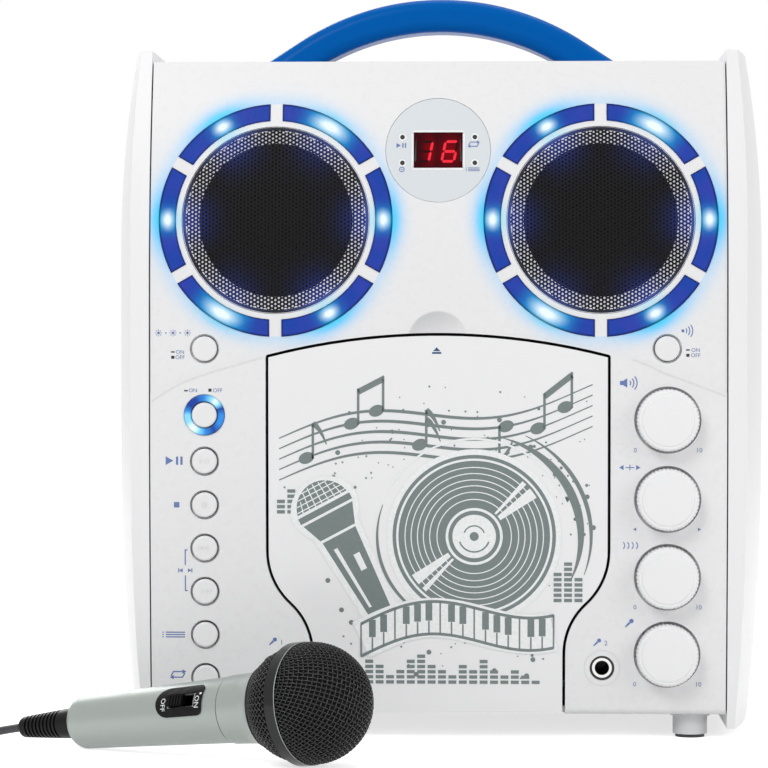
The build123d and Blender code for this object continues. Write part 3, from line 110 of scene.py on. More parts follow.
def circle(x, z, r, steps=20):
    return sweep(x, z, r, 0, 360, steps)[:-1]


def rounded_box(x, z, width, height, r, steps=4):
    """The outline of a rectangle with round corners."""
    points = []
    for n, (sx, sz) in enumerate(((1, 1), (-1, 1), (-1, -1), (1, -1))):
        points += sweep(x + sx * (width / 2 - r), z + sz * (height / 2 - r), r, 90 * n, 90 * n + 90, steps)
    return points


# ---------------- camera

def aim_at(obj, place, target):
    obj.location = place
    obj.rotation_euler = (Vector(target) - Vector(place)).to_track_quat("-Z", "Y").to_euler()
    scene.collection.objects.link(obj)


def add_camera():
    data = bpy.data.cameras.new("camera")
    data.lens = 159.8
    data.clip_end = 50
    scene.camera = bpy.data.objects.new("camera", data)
    aim_at(scene.camera, (0.0273, -1.6, 0.1766), (-0.0237, -0.1, 0.1572))


add_camera()


# ---------------- the microphone's cord

mic_axis = Vector(next(j["axis"] for j in frame["joints"] if j["name"] == "mic_switch_slide")).normalized()
mic_band_s = 109.91                 # from the place where the tail rests to the middle of the band
mic_head_s = 114.01                 # and to the head's centre
mic_tail = middle("mic_collar") - mic_band_s * mic_axis
cord_d = 3.6

relief_tip = mic_tail - 41 * mic_axis
lead_in = [(-189.8, -109.0, 5.2), (-200.6, -102.6, 2.3), (-213.5, -95.6, 1.8), (-227.0, -88.8, 1.8),
           (-239.5, -82.6, 1.8)]
lead_out = [(-272.9, -55.6, 1.9), (-274.9, -49.5, 3.0), (-275.2, -45.0, 4.8), (-274.5, -40.0, 5.6)]
coil_centre = (-238.0, -52.0)
coil_start = -115                   # degrees, where the cord joins the outer turn on the floor
turn_points = 16
# each layer of the coil: the first turn's radius, how many points, and how far in or out the next turn lies
coil_layers = [(28.2, 80, -3.6), (15.6, 64, 3.6), (28.2, 80, -3.6), (15.6, 64, 3.6), (28.2, 43, -3.6)]
layer_rise = 3.12
over_top = [(19.8, 15.6), (20.0, 17.2), (22.5, 18.3), (26.2, 18.6), (30.4, 17.0), (33.6, 12.2), (35.2, 6.6),
            (36.0, 2.8)]


def coil_point(angle, radius, z):
    """A control point of the coil, moved out so that the curve itself has that radius."""
    x, y = polar(*coil_centre, radius / math.cos(math.pi / turn_points), math.radians(angle))
    return x, y, z


def coil_turns():
    """Layer on layer, inwards and outwards by turns; a turn shifts to the next one in its last quarter."""
    points = []
    angle = coil_start
    for layer, (first_r, count, shift) in enumerate(coil_layers):
        z = 1.8 + layer * layer_rise
        for step in range(count):
            radius = first_r + step // turn_points * shift
            next_r = radius + shift
            rise = 0.0
            if step >= count - turn_points and layer + 1 < len(coil_layers):
                next_r = coil_layers[layer + 1][0]
                rise = layer_rise
            t = max(0.0, (step % turn_points) / turn_points * 4 - 3)
            points.append(coil_point(angle, radius + t * (next_r - radius), z + t * rise))
            angle -= 360 / turn_points
    for radius, z in over_top:
        points.append(coil_point(angle, radius, z))
        angle -= 360 / turn_points
    return points


def new_curve(name, diameter, resolution):
    data = bpy.data.curves.new(name, "CURVE")
    data.dimensions = "3D"
    data.bevel_depth = diameter / 2 * MM
    data.bevel_resolution = resolution
    return data


def add_spline(data, kind, points):
    spline = data.splines.new(kind)
    spline.points.add(len(points) - 1)
    for point, place in zip(spline.points, points):
        point.co = (*(place * MM), 1)
    return spline


def add_cord(points):
    data = new_curve("mic_cord_line", cord_d, 4)
    data.resolution_u = 6
    data.use_fill_caps = True
    spline = add_spline(data, "NURBS", points)
    spline.order_u = 3
    spline.use_endpoint_u = True
    cord = bpy.data.objects.new("mic_cord_line", data)
    scene.collection.objects.link(cord)
    return cord


route = [Vector(p) for p in lead_in + coil_turns() + lead_out]
cord = add_cord([relief_tip] + route)


# ---------------- materials

materials = {}


def srgb(red, green, blue):
    """A colour as seen, 0 to 255, as the linear values that shaders take."""
    def linear(value):
        value /= 255
        return value / 12.92 if value <= 0.04045 else ((value + 0.055) / 1.055) ** 2.4
    return linear(red), linear(green), linear(blue), 1.0


def shaded(colour, factor):
    return tuple(c * factor for c in srgb(*colour)[:3]) + (1.0,)


class Value:
    """What a node of a graph gives. Signs between values and numbers add the nodes that work them out."""

    def __init__(self, graph, socket):
        self.graph = graph
        self.socket = socket

    def __add__(self, other):
        return self.graph.math("ADD", self, other)

    def __sub__(self, other):
        return self.graph.math("SUBTRACT", self, other)

    def __rsub__(self, other):
        return self.graph.math("SUBTRACT", other, self)

    def __mul__(self, other):
        return self.graph.math("MULTIPLY", self, other)

    def __truediv__(self, other):
        return self.graph.math("DIVIDE", self, other)

    def __abs__(self):
        return self.graph.math("ABSOLUTE", self)


class Graph:
    """A new material, with short calls for its nodes. Sizes are in mm, and colours are as srgb takes them."""

    def __init__(self, name, colour, specular=0.5, **sockets):
        self.material = materials[name] = bpy.data.materials.new(name)
        self.material.use_nodes = True
        self.tree = self.material.node_tree
        self.shader = self.tree.nodes["Principled BSDF"]
        self.place = self.add("ShaderNodeTexCoord", output="Object")
        self.dress(colour)
        self.shader.inputs["Specular IOR Level"].default_value = specular
        for socket, value in sockets.items():
            self.shader.inputs[socket].default_value = value

    def add(self, kind, *values, output=0, named=None, **settings):
        """A node with its settings, its inputs in order or by name; gives one of its outputs."""
        node = self.tree.nodes.new(kind)
        for key, value in settings.items():
            setattr(node, key, value)
        for socket, value in zip(node.inputs, values):
            self.put(socket, value)
        for key, value in (named or {}).items():
            self.put(node.inputs[key], value)
        return Value(self, node.outputs[output])

    def put(self, socket, value):
        if isinstance(value, Value):
            self.tree.links.new(value.socket, socket)
        elif socket.type == "RGBA" and value is not None and len(value) == 3:
            socket.default_value = srgb(*value)
        elif value is not None:
            socket.default_value = value

    def dress(self, colour=None, roughness=None, normal=None, glow=None, strength=None):
        """Sets what the shader shows. Gives the graph."""
        for name, value in (("Base Color", colour), ("Roughness", roughness), ("Normal", normal),
                            ("Emission Color", glow), ("Emission Strength", strength)):
            self.put(self.shader.inputs[name], value)
        return self

    def math(self, operation, *values):
        return self.add("ShaderNodeMath", *values, operation=operation)

    def stretch(self, x, y, z):
        """The place with each direction scaled, for grain that runs one way."""
        return self.add("ShaderNodeVectorMath", self.place, (x, y, z), operation="MULTIPLY")

    def flat(self, x, z):
        """How far right of x and above z a place is."""
        place = self.stretch(1 / MM, 1 / MM, 1 / MM)
        split = self.add("ShaderNodeSeparateXYZ", place).socket.node.outputs
        return Value(self, split[0]) - x, Value(self, split[2]) - z

    def distance(self, dx, dz):
        return self.math("SQRT", dx * dx + dz * dz)

    def noise(self, size, detail=2.0, rough=0.5, place=None):
        return self.add("ShaderNodeTexNoise", output="Fac", named={
            "Vector": place or self.place, "Scale": 1 / (size * MM), "Detail": detail, "Roughness": rough})

    def cells(self, size, place=None, feature="F1"):
        return self.add("ShaderNodeTexVoronoi", output="Distance", feature=feature, named={
            "Vector": place or self.place, "Scale": 1 / (size * MM)})

    def range(self, value, low, high, to_low=0.0, to_high=1.0):
        return self.add("ShaderNodeMapRange", value, low, high, to_low, to_high)

    def between(self, part, a, b):
        """From a to b as a part goes from 0 to 1."""
        return self.range(part, 0, 1, a, b)

    def uneven(self, noise, low, high):
        """A noise as a value that wanders from low to high."""
        return self.range(noise, 0.3, 0.7, low, high)

    def falloff(self, distance, reach):
        """1 at the source, and less with the square of the distance."""
        part = distance / reach
        return self.math("EXPONENT", part * part * -1.0)

    def mix(self, factor, a, b):
        node = self.tree.nodes.new("ShaderNodeMix")
        node.data_type = "RGBA"
        for name, value in (("Factor_Float", factor), ("A_Color", a), ("B_Color", b)):
            self.put(next(s for s in node.inputs if s.identifier == name), value)
        return Value(self, next(s for s in node.outputs if s.identifier == "Result_Color"))

    def ramp(self, factor, stops):
        """Colours at places from 0 to 1, both included, blended between them."""
        colour = self.add("ShaderNodeValToRGB", factor)
        elements = colour.socket.node.color_ramp.elements
        elements[0].color = srgb(*stops[0][1])
        elements[1].color = srgb(*stops[-1][1])
        for place, stop in stops[1:-1]:
            elements.new(place).color = srgb(*stop)
        return colour

    def bump(self, height, depth, under=None):
        return self.add("ShaderNodeBump", named={"Height": height, "Distance": depth * MM, "Normal": under})


def moulded(name, colour, roughness=0.3, grain=0.5, depth=0.01, wave=0.02, mottle=0.96, **sockets):
    """Moulded plastic: faint grain in mm, long soft waves as sheets have, and slight changes of tone."""
    g = Graph(name, colour, **sockets)
    tone = g.mix(g.noise(18, 3), shaded(colour, mottle), colour)
    waves = g.bump(g.noise(25, 1), wave)
    return g.dress(tone, g.uneven(g.noise(4, 4), roughness * 0.93, roughness * 1.07),
                   g.bump(g.noise(grain, 3), depth, waves))


def metal(name, colour, roughness, streak=(1, 1, 1), grain=0.3, depth=0.01):
    """Bare metal with grain that may run one way."""
    g = Graph(name, colour, Metallic=1.0)
    place = g.stretch(*streak)
    fine = g.noise(grain, 4, 0.6, place)
    tone = g.mix(g.noise(6, 3, 0.5, place), shaded(colour, 0.88), colour)
    return g.dress(tone, g.uneven(fine, roughness * 0.75, roughness * 1.25), g.bump(fine, depth))


def painted(name, colour, roughness, **sockets):
    """Sprayed metallic paint with fine flakes and a soft orange peel."""
    g = Graph(name, colour, **sockets)
    tone = g.mix(g.range(g.cells(0.12), 0.1, 0.6), shaded(colour, 1.12), shaded(colour, 0.9))
    return g.dress(tone, g.uneven(g.noise(3, 3), roughness * 0.9, roughness * 1.1),
                   g.bump(g.noise(0.9, 2), 0.012))


def rubber(name, colour, roughness=0.6, grain=0.25, depth=0.02):
    g = Graph(name, colour)
    tone = g.mix(g.noise(5, 4), shaded(colour, 0.8), shaded(colour, 1.25))
    return g.dress(tone, g.uneven(g.noise(1.5, 3), roughness - 0.08, roughness + 0.08),
                   g.bump(g.noise(grain, 3), depth))


def ink(name, colour):
    """Screen print: slightly uneven cover with a fine tooth."""
    g = Graph(name, colour)
    cover = g.noise(1.2, 5, 0.6)
    tone = g.mix(g.range(cover, 0.25, 0.75), shaded(colour, 0.9), shaded(colour, 1.08))
    return g.dress(tone, g.uneven(cover, 0.3, 0.43), g.bump(g.noise(0.3, 2), 0.006))


lamp_step = math.radians(60)


def ring_glow(g):
    """Round the nearer speaker: radius, angle to the nearest lamp, arc to it, and which lamps are long."""
    x, dz = g.flat(0, speaker_z)
    dx = x - g.math("SIGN", x) * speaker_x
    radius = g.distance(dx, dz)
    angle = g.math("ARCTAN2", dz, dx)
    off = abs(g.math("WRAP", angle, lamp_step / 2, -lamp_step / 2))
    slant = abs(g.math("COSINE", angle - lamp_step))
    return radius, off, off * radius, g.math("POWER", slant, 14.0)


def lit_lens(name):
    """Tinted lens: white-hot over each lamp, cyan beside it, then deep blue, and dark at the edges."""
    g = Graph(name, (38, 68, 165), Roughness=0.2, specular=0.1)
    radius, off, arc, long = ring_glow(g)
    across = radius - (lens_outer_r - lens_w / 2)
    along = g.falloff(arc, g.between(long, 4.8, 13.5))
    cyan = along * g.between(long, 0.85, 1.0)
    long_core = g.falloff(arc, 7.4) * g.falloff(across, 2.9) * long
    short_core = g.falloff(arc, 3.6) * g.falloff(across, 2.3)
    core = g.range(g.math("MAXIMUM", short_core, long_core), 0.06, 0.85)
    to_bridge = radius * g.math("SINE", lamp_step / 2 - off) - bridge_w / 2
    edge = g.math("MINIMUM", lens_w / 2 - abs(across), to_bridge)
    lit = g.range(edge, 0.15, 1.1, 0.3, 1.0)
    glow = g.mix(g.range(g.noise(9, 2), 0.35, 0.65), (26, 66, 164), (50, 64, 168))
    for part, colour in ((along * 0.5, (4, 104, 190)), (cyan, (20, 178, 228)), (core, (240, 251, 255))):
        glow = g.mix(part, glow, colour)
    ribs = g.cells(1.1)
    strength = g.between(g.math("MAXIMUM", core, cyan * 0.7), 0.74, 1.0) * g.range(ribs, 0, 0.6, 0.94, 1.04)
    g.dress(glow=glow, strength=strength * g.math("MAXIMUM", lit, core))
    g.dress(g.mix(lit, (6, 14, 50), g.mix(cyan, (16, 34, 92), (10, 60, 90))), normal=g.bump(ribs, 0.04))


def lit_panel(name):
    """The white front, with the lenses' blue light painted on it, a painted glow of the lamps on the seat behind
    each grille, and painted shade in the finger hollow over the door.
    """
    g = moulded(name, (231, 231, 232), 0.28, depth=0.003, wave=0.004, mottle=0.997, specular=0.3)
    radius, _, arc, long = ring_glow(g)
    # painted light: the lenses' blue light laid into the panel's colour, wide and close outside each lens and
    # between the lenses and the grille
    outside = g.math("GREATER_THAN", radius, lens_outer_r)
    gap = radius - lens_outer_r
    wide = outside * g.falloff(gap, 4.9) * g.between(g.falloff(arc, 17), 0.3, 1.0)
    wide = wide * g.between(long, 1.0, 0.45)
    close = outside * g.falloff(gap, 2.4) * g.falloff(arc, 9) * g.between(long, 1.0, 0.6)
    between = g.math("LESS_THAN", radius, lens_outer_r - lens_w) * g.math("GREATER_THAN", radius, speaker_r)
    inner = between * g.falloff(arc, 8) * g.between(long, 0.6, 0.1)
    colour = Value(g, g.shader.inputs["Base Color"].links[0].from_socket)
    for part, light in ((wide, (112, 196, 248)), (inner, (150, 222, 246)), (close, (70, 205, 242))):
        colour = g.mix(part, colour, light)
    # painted shade in the finger hollow over the door: grey that is darkest towards its upper left and fades out
    # at its rim
    x, up = g.flat(0, scoop_z)
    scoop_shade_mask = g.range(g.distance(x, up) / scoop_r, 0.93, 1.0, 1.0, 0.0)
    depth = g.range(up - x * 0.35, -0.2 * scoop_r, scoop_r, 0.0, 0.75)
    # painted glow: the lamps' light on the seat behind the grille, seen through its holes, and a faint glow where
    # the blue light is painted
    seat = g.math("LESS_THAN", radius, speaker_r)
    g.dress(g.mix(scoop_shade_mask * depth, colour, (180, 181, 183)), glow=g.mix(seat, (110, 205, 255), (250, 250, 255)),
            strength=g.math("MAXIMUM", wide, close) * 0.08 + seat * 0.5)


def grille_edge(name):
    """The grille's rolled rim, which catches the lamps' blue light."""
    g = moulded(name, (20, 20, 23), 0.4, grain=0.2, depth=0.02, mottle=0.7, specular=0.25)
    _, _, arc, long = ring_glow(g)
    g.dress(glow=(58, 92, 196), strength=g.falloff(arc, 11) * g.between(long, 1.0, 0.6) * 0.5)


def grille_steel(name):
    """The perforated sheet, with a faint blue sheen of the lamps' light painted on it next to the lamps."""
    g = moulded(name, (17, 16, 16), 0.45, grain=0.2, depth=0.02, mottle=0.7, specular=0.12)
    radius, _, arc, long = ring_glow(g)
    lit = g.falloff(arc, 9) * g.falloff(speaker_r - radius, 11) * g.between(long, 1.0, 0.7)
    g.dress(glow=(40, 66, 170), strength=lit * 0.45)


def circuit_board(name):
    g = Graph(name, (18, 92, 48), Roughness=0.35)
    line = g.range(g.cells(2.4, g.stretch(1, 1, 2.2), "DISTANCE_TO_EDGE"), 0.04, 0.09, 1, 0)
    g.dress(g.mix(line, (16, 84, 44), (58, 140, 84)), normal=g.bump(line, 0.05))


def cone_paper(name):
    g = Graph(name, (46, 46, 50), Roughness=0.85)
    fibres = g.noise(0.8, 5, 0.7, g.stretch(1, 1, 0.5))
    g.dress(g.mix(fibres, (34, 34, 38), (62, 62, 66)), normal=g.bump(fibres, 0.15))


def dark_glass(name):
    """The display's red filter, which glows round the lit digits."""
    g = Graph(name, (44, 3, 9), Roughness=0.1, specular=0.05)
    glow = 0.0
    for digit_x, reach in ((ones_x, 5.0), (ones_x - digit_pitch + 2.2, 3.0)):
        dx, dz = g.flat(digit_x, display_z + digit_z)
        glow = g.math("MAXIMUM", glow, g.falloff(dx, reach) * g.falloff(dz, 6.6))
    g.dress(g.mix(g.noise(6, 2), (38, 2, 7), (46, 3, 9)), normal=g.bump(g.noise(2, 2), 0.004),
            glow=g.mix(glow, (60, 6, 14), (150, 0, 8)), strength=g.between(glow, 0.35, 0.6))


def lit_segment(name):
    g = Graph(name, (170, 20, 34), Roughness=0.3, specular=0.1)
    g.dress(glow=g.mix(g.noise(1.5, 2), (208, 30, 48), (232, 52, 66)), strength=0.8)


def power_glow(name):
    """Ring of clear blue plastic that glows: painted highlights at two opposite places, and dimmer at its edges.
    """
    g = Graph(name, (20, 70, 150), Roughness=0.14, specular=0.3)
    dx, dz = g.flat(*place_of("power_light_ring"))
    turn = g.range(g.math("ARCTAN2", dz, dx), -math.pi, math.pi)
    deep, blue, pale, white = (0, 48, 135), (38, 132, 208), (130, 210, 250), (228, 250, 252)
    # painted highlights: white at the lower left and the upper right, pale round them and at the left
    colour = g.ramp(turn, [(0.0, pale), (0.06, pale), (0.12, white), (0.15, white), (0.2, pale), (0.26, blue),
                           (0.34, deep), (0.42, blue), (0.5, blue), (0.56, deep), (0.6, pale), (0.64, white),
                           (0.69, pale), (0.75, blue), (0.83, deep), (0.91, deep), (0.96, blue), (1.0, pale)])
    from_middle = abs(g.distance(dx, dz) - (span("power_light_ring").x - power_ring_w) / 2)
    lit = g.range(from_middle, power_ring_w * 0.28, power_ring_w * 0.5, 1.0, 0.3)
    g.dress(g.mix(0.6, colour, (10, 40, 100)), normal=g.bump(g.noise(1.4, 2), 0.02), glow=colour,
            strength=lit * g.uneven(g.noise(2.2, 2), 0.85, 1.1) * 0.78)


# the slots of the record
moulded("white_shell", (232, 232, 233), 0.28, depth=0.003, wave=0.006, mottle=0.996)
moulded("side_shell", (235, 235, 236), 0.34, grain=0.7, depth=0.004, wave=0.006, mottle=0.996)
moulded("blue_handle", (0, 92, 174), 0.24, mottle=0.95, specular=0.04)
moulded("grey_foot", (218, 219, 220), 0.45, mottle=0.95)
rubber("rubber_pad", (60, 60, 62))
metal("zinc_screw", (178, 178, 176), 0.34, depth=0.015)
grille_steel("black_grille")
lit_lens("blue_lens")
metal("driver_steel", (120, 120, 124), 0.4)
cone_paper("cone_paper")
circuit_board("circuit_board")
moulded("display_plate", (215, 220, 224), 0.2, grain=0.4, depth=0.004, mottle=0.993)
dark_glass("display_window")
moulded("black_well", (40, 40, 44), 0.45, grain=0.35, depth=0.03, mottle=0.85, specular=0.3)
metal("deck_steel", (190, 192, 194), 0.3, streak=(1, 1, 12))
moulded("white_door", (234, 234, 235), 0.24, depth=0.003, wave=0.004, mottle=0.997)
moulded("grey_clamp", (150, 152, 156), 0.4, mottle=0.93)
moulded("white_button", (231, 231, 232), 0.25, mottle=0.992)
moulded("white_knob", (236, 236, 237), 0.36, grain=0.3, mottle=0.992)
power_glow("blue_ring")
moulded("black_socket", (26, 26, 28), 0.35, mottle=0.8)
metal("socket_nut", (210, 210, 208), 0.16, depth=0.004)
moulded("nylon_gear", (236, 232, 216), 0.4, mottle=0.93)
moulded("optical_head", (40, 40, 45), 0.3, mottle=0.85)
metal("transformer_steel", (150, 150, 152), 0.45, streak=(1, 1, 25), grain=0.6, depth=0.1)
painted("mic_silver", (164, 171, 167), 0.38, Metallic=0.45)
painted("mic_mesh", (7, 7, 8), 0.26, specular=0.45)
moulded("mic_black", (11, 11, 12), 0.34, grain=0.25, depth=0.015, mottle=0.8, specular=0.15)
rubber("cord_rubber", (44, 45, 48), roughness=0.5)
metal("plug_metal", (214, 213, 208), 0.12, depth=0.003)

# what only this file uses
lit_panel("white_panel")
grille_edge("grille_edge")
lit_segment("digit_red")
moulded("digit_off", (50, 5, 11), specular=0.05)
moulded("band_black", (14, 14, 16), 0.16, depth=0.004, mottle=0.85, specular=0.35)
rubber("head_foam", (9, 9, 10), roughness=0.9, grain=0.6, depth=0.3)
ink("print_grey", (112, 124, 122))
ink("print_blue", (96, 118, 172))
ink("print_teal", (20, 75, 110))
ink("print_white", (236, 238, 238))
ink("print_black", (14, 9, 11))
# painted shade of creases, recess edges and moulded marks, laid on as a flat print
ink("painted_relief_shade", (219, 219, 220))
moulded("socket_white", (226, 226, 222), 0.4)
moulded("socket_red", (190, 34, 38), 0.4)
moulded("socket_yellow", (228, 190, 30), 0.4)

for part in frame["record"]["subparts"]:
    for material_slot in nodes[part["node"]].material_slots:
        material_slot.material = materials[part["material_slot"]]
nodes["front_panel"].material_slots[0].material = materials["white_panel"]
nodes["mic_collar"].material_slots[0].material = materials["band_black"]


# ---------------- making pieces

def settle(name, data, material, body, replaced):
    """Puts a finished mesh or curve with its material on its body."""
    data.materials.append(materials[material])
    obj = bpy.data.objects.new(name, data)
    scene.collection.objects.link(obj)
    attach(obj, body)
    if replaced:
        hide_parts(*replaced)
    return obj


def piece(name, bm, material, body, *replaced, slot=None, crease=None):
    """A mesh in mm as a piece on a body. With a crease angle, edges flatter than it look round."""
    bmesh.ops.scale(bm, vec=(MM, MM, MM), verts=bm.verts)
    data = bpy.data.meshes.new(name)
    bm.to_mesh(data)
    bm.free()
    if crease is not None:
        data.shade_smooth()
        data.set_sharp_from_angle(angle=math.radians(crease))
    return settle(name, data, material, body, replaced)


def wires(name, paths, diameter, material, body, *replaced, slot=None, closed=False):
    """Thin round wires along lists of points."""
    data = new_curve(name, diameter, 1)
    for path in paths:
        add_spline(data, "POLY", path).use_cyclic_u = closed
    return settle(name, data, material, body, replaced)


def thicken(obj, thickness, offset):
    solid = obj.modifiers.new("thickness", "SOLIDIFY")
    solid.thickness = thickness * MM
    solid.offset = offset


class Surface:
    """The shown faces of some CAD nodes, for pieces that lie on them."""

    def __init__(self, *names):
        points, faces = [], []
        for name in names:
            mesh = nodes[name].data
            faces += [[len(points) + v for v in face.vertices] for face in mesh.polygons]
            points += [v.co / MM for v in mesh.vertices]
        self.tree = BVHTree.FromPolygons(points, faces)

    def hit(self, start, direction):
        return self.tree.ray_cast(start, direction)[0]

    def front(self, x, z):
        """Where a line from the front meets the surface, or None."""
        return self.hit(Vector((x, -300, z)), -FRONT)


def frame_of(axis, facing):
    """Two directions across an axis: towards facing, and beside it."""
    ahead = (facing - axis * facing.dot(axis)).normalized()
    return ahead, axis.cross(ahead)


def join(bm, a, b, closed=True):
    """Faces between two rows of vertices; where a vertex repeats, a face has three corners."""
    for i in range(len(a) if closed else len(a) - 1):
        j = (i + 1) % len(a)
        corners = list(dict.fromkeys((a[i], a[j], b[j], b[i])))
        if len(corners) > 2:
            bm.faces.new(corners)


def lathe(profile, origin, axis, facing=UP, steps=64, flute=None):
    """Turns a profile of (distance along the axis, radius) about it. flute(r, angle) may change a radius."""
    ahead, beside = frame_of(axis, facing)
    bm = bmesh.new()
    rings = []
    for s, r in profile:
        centre = origin + axis * s
        if r < 1e-4:
            rings.append([bm.verts.new(centre)] * steps)
            continue
        ring = []
        for step in range(steps):
            angle = 2 * math.pi * step / steps
            u, v = polar(0, 0, flute(r, angle) if flute else r, angle)
            ring.append(bm.verts.new(centre + u * ahead + v * beside))
        rings.append(ring)
    for a, b in zip(rings, rings[1:]):
        join(bm, a, b)
    bmesh.ops.recalc_face_normals(bm, faces=bm.faces)
    return bm


def face_out(bm, outwards):
    """Turns each face the way that outwards gives for its middle."""
    for face in bm.faces:
        face.normal_update()
        if face.normal.dot(outwards(face.calc_center_median())) < 0:
            face.normal_flip()


# ---------------- flat prints

class Print:
    """Flat shapes in millimetres, x to the right and z up, that are pressed onto a surface.

    Shapes that cross others are drawn with a rise over them, so that none lie in one plane."""

    def __init__(self):
        self.bm = bmesh.new()
        self.rise = 0.0
        self.move()

    def move(self, x=0.0, z=0.0, size=1.0, turn=0.0):
        """What is drawn after this has its middle at x, z, is larger by size and is turned by degrees."""
        turned = Matrix.Rotation(-math.radians(turn), 4, "Y")
        self.place = Matrix.Translation((x, 0, z)) @ turned @ Matrix.Scale(size, 4)

    def vert(self, x, z):
        return self.bm.verts.new(self.place @ Vector((x, 0, z)) + Vector((0, self.rise, 0)))

    def area(self, outline, *holes):
        """A filled outline with holes."""
        loops = [[Vector((x, z, 0)) for x, z in loop] for loop in (outline, *holes)]
        verts = [self.vert(p.x, p.y) for loop in loops for p in loop]
        for triangle in tessellate_polygon(loops):
            self.bm.faces.new([verts[i] for i in triangle])

    def convex(self, outline):
        self.bm.faces.new([self.vert(x, z) for x, z in outline])

    def block(self, x0, z0, x1, z1):
        self.convex([(x0, z0), (x1, z0), (x1, z1), (x0, z1)])

    def disc(self, x, z, r, steps=20):
        self.convex(circle(x, z, r, steps))

    def band(self, sides):
        """Four-cornered shapes between pairs of points."""
        for (a, b), (c, d) in zip(sides, sides[1:]):
            self.convex([a, b, d, c])

    def ring(self, x, z, outer, inner, steps=40, start=0.0, end=360.0):
        """A ring, or a stretch of it between two angles."""
        count = max(2, round(steps * (end - start) / 360))
        self.band([*zip(sweep(x, z, inner, start, end, count), sweep(x, z, outer, start, end, count))])

    def arcs(self, x, z, radii, half, steps=40, start=0.0, end=360.0):
        """Thin rings, or stretches of them; half is half their width."""
        for r in radii:
            self.ring(x, z, r + half, r - half, steps, start, end)

    def bar(self, x0, z0, x1, z1, width):
        """A straight bar with round ends."""
        turn = math.degrees(math.atan2(z1 - z0, x1 - x0))
        self.convex(sweep(x1, z1, width / 2, turn - 90, turn + 90, 6)
                    + sweep(x0, z0, width / 2, turn + 90, turn + 270, 6))

    def ribbon(self, points, width):
        """A band along points; width is a number, or a function of how far along, 0 to 1."""
        sides = []
        last = len(points) - 1
        for i, (x, z) in enumerate(points):
            along = (Vector(points[min(last, i + 1)]) - Vector(points[max(0, i - 1)])).normalized()
            half = (width(i / last) if callable(width) else width) / 2
            sides.append(((x + along.y * half, z - along.x * half), (x - along.y * half, z + along.x * half)))
        self.band(sides)

    def letters(self, text, x, z, height):
        """Plain letters or numbers, centred at a place; height is that of a capital."""
        data = bpy.data.curves.new("letters", "FONT")
        data.body = text
        data.size = height / 0.7
        data.resolution_u = 3
        data.align_x = "CENTER"
        obj = bpy.data.objects.new("letters", data)
        scene.collection.objects.link(obj)
        mesh = bpy.data.meshes.new_from_object(obj.evaluated_get(bpy.context.evaluated_depsgraph_get()))
        upright = Matrix.Rotation(math.pi / 2, 4, "X")
        mesh.transform(self.place @ Matrix.Translation((x, 0, z - height / 2)) @ upright)
        self.bm.from_mesh(mesh)
        bpy.data.objects.remove(obj)
        bpy.data.curves.remove(data)
        bpy.data.meshes.remove(mesh)

    def slice(self, normal, step):
        """Cuts the shapes into strips, so that they can follow a curved surface."""
        reach = [v.co.dot(normal) for v in self.bm.verts]
        level = min(reach) + step
        while level < max(reach):
            geometry = self.bm.verts[:] + self.bm.edges[:] + self.bm.faces[:]
            bmesh.ops.bisect_plane(self.bm, geom=geometry, plane_co=normal * level, plane_no=normal)
            level += step

    def press(self, name, surface, material, slot, lift=0.07, body="cabinet"):
        """Lays the shapes on a surface, as seen from the front."""
        self.slice(UP, 3)
        lost = []
        for v in self.bm.verts:
            place = surface.front(v.co.x, v.co.z)
            if place is None:
                lost.append(v)
            else:
                v.co = place + FRONT * (lift + v.co.y)
        bmesh.ops.delete(self.bm, geom=lost, context="VERTS")
        face_out(self.bm, lambda place: FRONT)
        return piece(name, self.bm, material, body, slot=slot)


front = Surface("front_panel")
door = Surface("disc_door")
display = Surface("display_plate", "display_window")


# ---------------- speaker grilles

hole_pitch = 1.77
hole_r = 0.5
grille_rim = 1.5


def perforated(centre, radius, surface):
    """A sheet of six-sided cells, each with a round hole, cut off by a circle and laid on a surface."""
    bm = bmesh.new()

    def row_of_verts(x, z, reaches):
        """Twelve places round a cell's middle; those outside the circle are moved onto it."""
        verts = []
        for i in range(12):
            u, v = polar(x, z, reaches[i % 2], math.radians(90 - 30 * i))
            out = max(1.0, math.hypot(u, v) / radius)
            verts.append(bm.verts.new(surface.front(centre.x + u / out, centre.z + v / out)))
        return verts

    row_height = hole_pitch * math.sqrt(0.75)
    rows = math.ceil(radius / row_height)
    columns = math.ceil(radius / hole_pitch)
    for row in range(-rows, rows + 1):
        for column in range(-columns, columns + 1):
            x, z = row * row_height, (column + row % 2 / 2) * hole_pitch
            if math.hypot(x, z) <= radius - 0.3 * hole_pitch:
                outer = row_of_verts(x, z, (hole_pitch / 2, hole_pitch / math.sqrt(3)))
                join(bm, outer, row_of_verts(x, z, (hole_r, hole_r)))
    bmesh.ops.remove_doubles(bm, verts=bm.verts, dist=1e-3)
    face_out(bm, lambda place: FRONT)
    return bm


def add_grille(side):
    node = f"speaker_grille_{side}"
    place = middle(node)
    surface = Surface(node)
    edge = speaker_r - 0.1 - grille_rim / 2
    sheet = piece(f"grille_sheet_{side}", perforated(place, edge, surface), "black_grille", "cabinet", node)
    thicken(sheet, 0.5, -1)
    rim = [surface.front(x, z) - FRONT * 0.35 for x, z in circle(place.x, place.z, edge, 96)]
    wires(f"grille_rim_{side}", [rim], grille_rim, "grille_edge", "cabinet", slot="black_grille", closed=True)


for side in ("left", "right"):
    add_grille(side)


# ---------------- knobs

flutes = 48
flute_depth = 0.3


